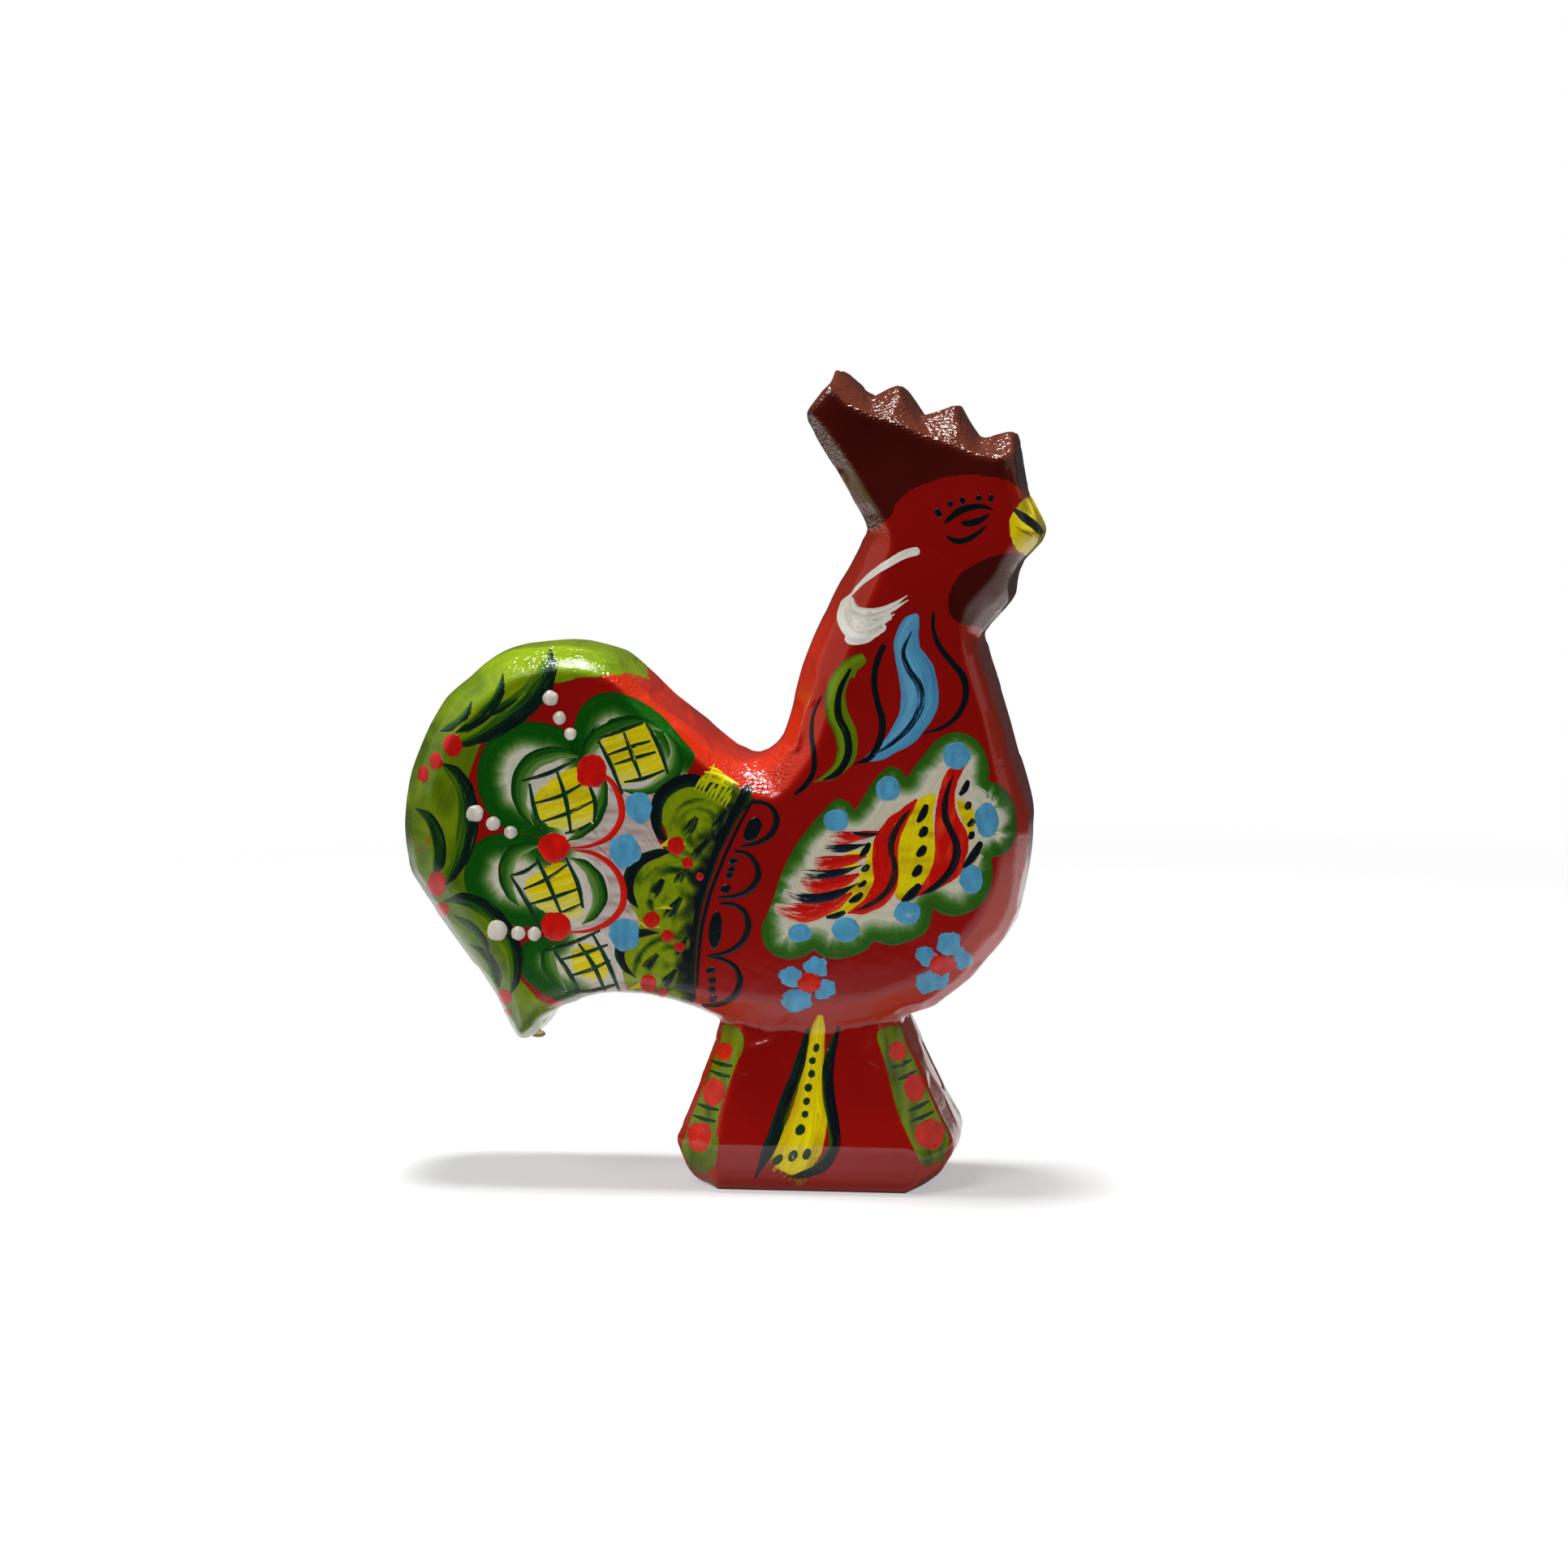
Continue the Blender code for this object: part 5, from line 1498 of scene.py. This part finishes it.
def neck(word):
    g = Film()
    green = [(-1.0, (92, 120, 8)), (-0.3, LEAF), (0.5, (120, 150, 14)), (1.0, LEAF_DARK)]
    stroke(g, [(1066, 809), (1044, 824), (1030, 850), (1031, 878), (1042, 905), (1043, 929), (1029, 951), (1002, 964)],
           [16, 21, 25, 28, 28, 25, 15, 1], green, layer=0, start="soft", end="none", dry=0.18)
    for x, w in ((1054, 4), (1061, 3), (1068, 3)):
        stroke(g, [(x, 806 + (x - 1054) * 0.4), (x - 10, 820), (x - 18, 836)], [1, w, w + 2], LEAF, layer=0, start="none", end="none", dry=0.2)
    stroke(g, [(1049, 822), (1034, 854), (1033, 881), (1044, 907), (1045, 929), (1031, 953), (1013, 962)], [4, 8, 10, 10, 10, 9, 2.5],
           [(-1, INK), (0.2, INK), (1, GREEN_DEEP)], layer=2, ground=LEAF, dry=0.14)
    stroke(g, [(1013, 856), (1002, 881), (1000, 905), (1003, 930), (1002, 951), (991, 969), (978, 980)], [1.5, 4, 6, 7, 7, 7, 4],
           INK, layer=1, dry=0.06)
    lay(g, f"neck_plume_green_paint_{word}", [f"neck_plume_green_{word}"])

    b = Film()
    blue = [(-1.0, (70, 140, 184)), (-0.5, BLUE), (0.5, (104, 176, 214)), (1.0, (74, 146, 190))]
    stroke(b, [(1131, 756), (1123, 768), (1117, 795), (1130, 833), (1133, 865), (1119, 897), (1090, 924), (1054, 942)],
           [16, 24, 32, 46, 47, 36, 20, 1], blue, layer=0, start="round", end="none", dry=0.08)
    stroke(b, [(1124, 776), (1113, 805), (1119, 824), (1133, 846), (1135, 867), (1124, 891), (1100, 915), (1075, 931)],
           [1.5, 6, 8, 10, 10, 8, 6, 1.5], [(-1, (10, 30, 60)), (0, INK), (0.6, (12, 40, 80)), (1, (30, 90, 140))], layer=2, ground=BLUE, dry=0.26, streak=0.3)
    stroke(b, [(1090, 793), (1081, 814), (1077, 840), (1081, 865), (1087, 887), (1084, 913), (1071, 934), (1052, 942)], [7, 8, 8, 8, 9, 9, 8, 2],
           INK, layer=1, dry=0.05)
    stroke(b, [(1150, 753), (1150, 775), (1158, 797), (1172, 815), (1187, 835), (1190, 857), (1180, 881), (1162, 896), (1135, 904)],
           [4, 5, 7, 8, 9, 8, 7, 5, 1.5], INK, layer=1, dry=0.05)
    lay(b, f"neck_plume_blue_paint_{word}", [f"neck_plume_blue_{word}"])

    u = Film()
    stroke(u, [(1134, 678), (1115, 683), (1095, 694), (1075, 707), (1058, 722), (1045, 738)], [11, 11, 10, 8, 5, 1.5], WHITE, layer=1,
           start="round", end="none", dry=0.12)
    lay(u, f"neck_stroke_upper_paint_{word}", [f"neck_stroke_upper_{word}"])

    v = Film()
    for k in range(9):
        t = k / 8
        p0 = (1050 - 15 * math.sin(2.7 * t), 735 + 46 * t)
        p1 = (1053 - 8 * t, 749 + 38 * t)
        p2 = (1072 - 6 * t, 754 + 34 * t)
        p3 = (1095 - 12 * t + 3 * math.sin(k * 2.3), 748 + 32 * t)
        p4 = (1119 - 38 * t + 6 * math.sin(k * 1.7), 733 + 46 * t)
        stroke(v, [p0, p1, p2, p3, p4], [3, 10, 10, 7, 1.2], [(-1, (206, 198, 176)), (0, WHITE), (1, (244, 240, 228))], layer=0.25 * k,
               start="soft", end="none", dry=0.14)
    stroke(v, [(1050, 731), (1041, 746), (1040, 762), (1047, 776), (1059, 782), (1071, 779)], [3, 13, 18, 18, 14, 8],
           [(-1, (236, 230, 212)), (0, WHITE), (1, WHITE)], layer=2.4, start="none", end="soft", dry=0.06)
    lay(v, f"neck_stroke_lower_paint_{word}", [f"neck_stroke_lower_{word}"])


def head(word):
    f = Film()
    stroke(f, [(1163, 645), (1171, 638), (1182, 630), (1196, 625), (1210, 624), (1224, 628)], [3, 7, 9, 8, 6, 2], INK, layer=2, dry=0.03)
    stroke(f, [(1183, 643), (1192, 645), (1202, 643), (1211, 639), (1220, 633)], [4, 8, 9, 6, 1.5], INK, layer=2, dry=0.03)
    for c, r, rx, ry, turn in ((1156, 632, 4.2, 6.6, -0.5), (1171, 621, 3.8, 4.2, 0), (1186, 617, 3.7, 5.0, -0.2),
                               (1206, 614, 4.2, 4.4, 0), (1221, 614, 3.4, 5.0, 0.2)):
        dab(f, c, r, rx, ry, colour=INK, turn=turn, layer=2, dome=0.07)
    lay(f, f"eye_upper_paint_{word}", [f"eye_upper_lid_{word}"])
    g = Film()
    stroke(g, [(1166, 660), (1173, 665), (1183, 667), (1195, 663), (1206, 656), (1216, 647)], [3, 6, 7.5, 7, 5, 1.5], INK, layer=2, dry=0.03)
    lay(g, f"eye_lower_paint_{word}", [f"eye_lower_lid_{word}"])
    h = Film()
    stroke(h, [(1249, 627), (1262, 638), (1275, 648), (1285, 659)], [5, 11, 11, 7], [(-1, INK), (1, (20, 24, 10))], layer=4, dry=0.05, ground=YELLOW)
    stroke(h, [(1250, 648), (1262, 655), (1274, 662)], [1.5, 4, 1.5], (170, 134, 10), layer=3, dry=0.4, ground=YELLOW, start="none", end="none")
    lay(h, f"beak_line_paint_{word}")


def breast(word):
    for place, middle, petals in (
        ("rear", (998, 1211, 15, 12), ((1006, 1191, 15, 13, 0.3), (976, 1203, 15, 13, -0.2), (983, 1232, 22, 14, -0.15), (1017, 1219, 12, 15, 0.5))),
        ("front", (1161, 1189, 16, 12), ((1170, 1164, 16, 15, 0.2), (1142, 1178, 13, 12, 0.0), (1149, 1208, 24, 14, -0.2), (1186, 1181, 12, 12, 0.4))),
    ):
        f = Film()
        for c, r, rx, ry, turn in petals:
            dab(f, c, r, rx, ry, colour=BLUE, turn=turn, layer=0, dome=0.07, rough=0.16, dry=0.12)
        dab(f, *middle, colour=(206, 30, 14), layer=2, dome=0.12, rough=0.13)
        for k in range(5):
            a = 2 * math.pi * k / 5 + 0.4
            c, r = middle[0] + 11 * math.cos(a), middle[1] + 9 * math.sin(a)
            dab(f, c, r, 4.5, 3.5, colour=(206, 30, 14), turn=a, layer=1.6, dome=0.06, rough=0.2)
        lay(f, f"breast_flower_{place}_paint_{word}", [f"breast_flower_{place}_{word}"])


def foot(word):
    f = Film()
    stroke(f, [(1011, 1250), (1008, 1270), (1003, 1300), (1000, 1340), (996, 1380), (985, 1412), (970, 1440), (958, 1458)],
           [10, 18, 25, 34, 48, 57, 56, 42], [(-1, (206, 176, 6)), (-0.4, YELLOW), (0.5, (236, 212, 14)), (1, (196, 160, 6))], layer=0,
           start="soft", end="none", dry=0.12, ragged=12)
    stroke(f, [(995, 1366), (987, 1400), (977, 1428), (968, 1447)], [34, 47, 53, 40],
           [(-1, (210, 182, 6)), (-0.4, YELLOW), (0.5, (236, 212, 14)), (1, (206, 172, 6))], layer=0.5, start="none", end="soft", dry=0.13)
    stroke(f, [(996, 1266), (992, 1285), (984, 1315), (967, 1362), (949, 1412), (930, 1452)], [3, 10, 14, 17, 17, 3],
           [(-1, (84, 110, 8)), (-0.72, GREEN_DEEP), (-0.2, INK), (1, INK_GREEN)], layer=1, start="none", end="none", dry=0.14, streak=0.3)
    stroke(f, [(1034, 1264), (1026, 1290), (1020, 1320), (1021, 1350), (1027, 1385), (1028, 1412), (1016, 1434), (994, 1446), (968, 1450)],
           [3, 11, 15, 16, 15, 15, 15, 11, 1], [(-1, INK), (0.1, INK), (0.7, GREEN_DEEP), (1, (90, 110, 10))], layer=1, start="none", end="none", dry=0.14, streak=0.3)
    for c, r, rx, ry, turn in ((1006, 1291, 4, 6, 0.3), (1001, 1307, 4.5, 5, 0.3), (1000, 1323, 4.5, 5.5, 0.3), (996, 1340, 5, 5.5, 0.3), (994, 1357, 4.5, 5.5, 0.3),
                               (992, 1373, 4.5, 5, 0.3), (986, 1392, 6, 8, 0.5), (958, 1429, 5, 9, 0.8), (977, 1424, 5.5, 8, 0.6), (994, 1422, 5, 8, 0.4)):
        dab(f, c, r, rx, ry, colour=(20, 56, 22), turn=turn, layer=3.6, dome=0.07, ground=YELLOW, dry=0.1)
    lay(f, f"plinth_stripe_paint_{word}", [f"plinth_stripe_{word}"])

    band = lambda c, r, d, s: blend((122, 146, 6), LEAF_DARK, np.clip(0.16 + 1.3 * fbm(c * 0.09, r * 0.02, 9.0), 0, 1))
    g = Film()
    patch(g, [(892, 1262), (905, 1263), (915, 1275), (917, 1284), (908, 1310), (897, 1340), (889, 1362), (882, 1400), (877, 1440), (862, 1446),
              (848, 1432), (840, 1413), (845, 1396), (856, 1366), (868, 1334), (880, 1304), (888, 1280)],
          band, layer=0, streaks="angle", angle=1.85, dry=0.2, fray=0.8)
    for k in range(7):
        c = 848 + k * 5
        stroke(g, [(c + 6, 1400), (c + 2, 1430), (c - 1 + 2 * math.sin(k * 2.1), 1446 + 4 * math.sin(k * 1.9))], [5, 5, 1.2], LEAF, layer=0.3,
               start="none", end="none", dry=0.34)
    for c, r, rx, ry in ((893, 1295, 10, 12), (880, 1345, 13, 18), (861, 1400, 15, 19)):
        dab(g, c, r, rx, ry, colour=(222, 40, 18), turn=0.15, layer=2, dome=0.12, rough=0.08, ground=LEAF)
    for a, b in (((874, 1306), (905, 1314)), ((873, 1318), (902, 1327)), ((858, 1359), (888, 1368)), ((852, 1373), (884, 1382))):
        m = ((a[0] + b[0]) / 2, (a[1] + b[1]) / 2 + 1.5)
        stroke(g, [a, m, b], [2.5, 6, 3.5], [(-1, GREEN_DEEP), (0, (30, 58, 14)), (1, GREEN_DEEP)], layer=1, ground=LEAF, dry=0.18)
    lay(g, f"plinth_corner_rear_paint_{word}", [f"plinth_corner_rear_{word}"])

    h = Film()
    patch(h, [(1083, 1270), (1096, 1264), (1108, 1263), (1116, 1283), (1126, 1305), (1139, 1335), (1149, 1357), (1160, 1380), (1169, 1400), (1167, 1418),
              (1156, 1430), (1140, 1438), (1129, 1422), (1118, 1398), (1106, 1370), (1098, 1340), (1090, 1308)],
          band, layer=0, streaks="angle", angle=1.2, dry=0.2, fray=0.8)
    for k in range(5):
        c = 1138 + k * 6
        stroke(h, [(c - 6, 1400), (c - 1, 1424), (c + 3, 1438 - k)], [5, 5, 1.2], LEAF, layer=0.3, start="none", end="none", dry=0.34)
    for c, r, rx, ry in ((1106, 1295, 11, 13), (1127, 1340, 13, 17), (1146, 1398, 19, 19)):
        dab(h, c, r, rx, ry, colour=(222, 40, 18), turn=-0.2, layer=2, dome=0.12, rough=0.08, ground=LEAF)
    for a, b in (((1096, 1316), (1125, 1305)), ((1104, 1331), (1131, 1318)), ((1117, 1370), (1147, 1355)), ((1120, 1383), (1153, 1368))):
        m = ((a[0] + b[0]) / 2, (a[1] + b[1]) / 2 + 1)
        stroke(h, [a, m, b], [3, 6.5, 2.5], [(-1, GREEN_DEEP), (0, (30, 58, 14)), (1, GREEN_DEEP)], layer=1, ground=LEAF, dry=0.18)
    lay(h, f"plinth_corner_front_paint_{word}", [f"plinth_corner_front_{word}"])


for word, y in (("right", -1.0), ("left", 1.0)):
    SIDE["y"] = y
    tail_flowers(word)
    hackle(word)
    wing(word)
    neck(word)
    head(word)
    breast(word)
    foot(word)

# ------------------------------------------------------------------ the varnish drop
lo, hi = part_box("varnish_drip")
mid = (np.array(lo) + np.array(hi)) / 2
half = (np.array(hi) - np.array(lo)) / 2
drop = Film()
rows, seg = 12, 28
pts = [(mid[0], mid[1], hi[2])]
for k in range(1, rows):
    a = math.pi * k / rows
    sag = 1.0 if a < math.pi / 2 else 0.9
    for j in range(seg):
        b = 2 * math.pi * j / seg
        swell = 1 + 0.06 * fbm(math.cos(b) * 1.5, math.sin(b) * 1.5, a)
        pts.append((mid[0] + half[0] * math.sin(a) * math.cos(b) * swell, mid[1] + half[1] * math.sin(a) * math.sin(b) * swell,
                    mid[2] + half[2] * math.cos(a) * sag))
pts.append((mid[0], mid[1], mid[2] - half[2] * 0.9))
faces = [(0, 1 + j, 1 + (j + 1) % seg) for j in range(seg)]
for k in range(rows - 2):
    for j in range(seg):
        n = (j + 1) % seg
        faces.append((1 + k * seg + j, 1 + (k + 1) * seg + j, 1 + (k + 1) * seg + n, 1 + k * seg + n))
last = len(pts) - 1
faces += [(last, 1 + (rows - 2) * seg + (j + 1) % seg, 1 + (rows - 2) * seg + j) for j in range(seg)]
n = len(pts)
drop.add(pts, faces, [tuple(lin((214, 196, 120)))] * n, [tuple(lin((190, 160, 80)))] * n, [(p[0] * 1000, p[2] * 1000, 1.0) for p in pts], [0.1] * n)
RESIN = varnished("set_varnish", (206, 186, 110), (226, 208, 140), (220, 200, 128), crinkle=0.2)
resin = RESIN.node_tree.nodes["Principled BSDF"]
resin.inputs["Transmission Weight"].default_value = 0.85
resin.inputs["IOR"].default_value = 1.5
lay(drop, "varnish_drop", ["varnish_drip"], RESIN)

# ------------------------------------------------------------------ the stage
floor_mesh = bpy.data.meshes.new("floor")
ring = [(1.6 * math.cos(2 * math.pi * k / 96), 1.6 * math.sin(2 * math.pi * k / 96), 0.0) for k in range(96)]
floor_mesh.from_pydata(ring, [], [tuple(range(96))])
floor = bpy.data.objects.new("floor", floor_mesh)
scene.collection.objects.link(floor)
pale = bpy.data.materials.new("pale_floor")
pale.use_nodes = True
t = pale.node_tree
p = t.nodes["Principled BSDF"]
p.inputs["Base Color"].default_value = (0.86, 0.86, 0.855, 1)
p.inputs["Roughness"].default_value = 0.9
p.inputs["Specular IOR Level"].default_value = 0.1
clear = node(t, "ShaderNodeBsdfTransparent")
fade = node(t, "ShaderNodeMixShader")
where = node(t, "ShaderNodeTexCoord")
length = node(t, "ShaderNodeVectorMath", operation="LENGTH")
moved = node(t, "ShaderNodeVectorMath", operation="SUBTRACT")
t.links.new(where.outputs["Object"], moved.inputs[0])
moved.inputs[1].default_value = (0.04, 0.16, 0.0)
t.links.new(moved.outputs[0], length.inputs[0])
span = node(t, "ShaderNodeMapRange", interpolation_type="SMOOTHSTEP")
span.inputs["From Min"].default_value = 0.22
span.inputs["From Max"].default_value = 0.62
span.inputs["To Min"].default_value = 0.42
t.links.new(length.outputs["Value"], span.inputs["Value"])
t.links.new(span.outputs["Result"], fade.inputs["Fac"])
t.links.new(p.outputs["BSDF"], fade.inputs[1])
t.links.new(clear.outputs["BSDF"], fade.inputs[2])
t.links.new(fade.outputs["Shader"], t.nodes["Material Output"].inputs["Surface"])
floor_mesh.materials.append(pale)

# ------------------------------------------------------------------ the light
world = bpy.data.worlds.new("studio")
scene.world = world
world.use_nodes = True
w = world.node_tree
back = w.nodes["Background"]
out = w.nodes["World Output"]
way = node(w, "ShaderNodeTexCoord")
split = node(w, "ShaderNodeSeparateXYZ")
w.links.new(way.outputs["Generated"], split.inputs["Vector"])


def glow(socket, start, stop, low, high):
    r = node(w, "ShaderNodeMapRange", interpolation_type="SMOOTHSTEP")
    for key, value in (("From Min", start), ("From Max", stop), ("To Min", low), ("To Max", high)):
        r.inputs[key].default_value = value
    w.links.new(split.outputs[socket], r.inputs["Value"])
    return r.outputs["Result"]


level = math_node(w, "ADD", glow("Y", -0.85, 0.1, 0.03, 0.10), glow("Z", 0.25, 0.85, 0.0, 0.10))
level = math_node(w, "ADD", level, glow("Y", 0.25, 0.8, 0.0, -0.06))
w.links.new(level, back.inputs["Strength"])
back.inputs["Color"].default_value = (1.0, 0.995, 0.985, 1)
plain = node(w, "ShaderNodeBackground")
plain.inputs["Color"].default_value = (1, 1, 1, 1)
plain.inputs["Strength"].default_value = 1.0
eye_ray = node(w, "ShaderNodeLightPath")
pick = node(w, "ShaderNodeMixShader")
w.links.new(eye_ray.outputs["Is Camera Ray"], pick.inputs["Fac"])
w.links.new(back.outputs["Background"], pick.inputs[1])
w.links.new(plain.outputs["Background"], pick.inputs[2])
w.links.new(pick.outputs["Shader"], out.inputs["Surface"])


def softbox(name, place, aim, size, power, colour=(1, 1, 1)):
    data = bpy.data.lights.new(name, "AREA")
    data.shape = "RECTANGLE"
    data.size, data.size_y = size
    data.energy = power
    data.color = colour
    obj = bpy.data.objects.new(name, data)
    scene.collection.objects.link(obj)
    obj.visible_camera = False
    obj.location = place
    obj.rotation_euler = (Vector(aim) - Vector(place)).to_track_quat("-Z", "Y").to_euler()
    return obj


softbox("top_box", (-0.06, 0.04, 1.05), (0, 0, 0.1), (0.26, 0.20), 16.0)
softbox("front_box", (-0.50, -0.80, 0.95), (0, 0, 0.09), (0.5, 0.5), 6.9)
softbox("left_box", (-1.0, -0.10, 0.55), (0, 0, 0.09), (0.9, 0.9), 0.8)
softbox("side_box", (1.0, -0.20, 0.60), (0, 0, 0.09), (0.9, 0.9), 0.8)

# ------------------------------------------------------------------ the camera
camera_data = bpy.data.cameras.new("camera")
camera_data.sensor_width = 36.0
camera_data.sensor_fit = "HORIZONTAL"
camera_data.lens = 36.0 * FOCAL / 1932.0
camera_data.clip_start = 0.05
camera_data.clip_end = 50.0
camera = bpy.data.objects.new("camera", camera_data)
scene.collection.objects.link(camera)
camera.location = EYE
from mathutils import Matrix
camera.rotation_euler = Matrix((RIGHTWARDS, UPWARDS, TOWARDS)).transposed().to_euler()
scene.camera = camera
scene.view_settings.view_transform = "Standard"
scene.view_settings.look = "None"
scene.view_settings.exposure = 0.0
scene.view_settings.gamma = 1.0

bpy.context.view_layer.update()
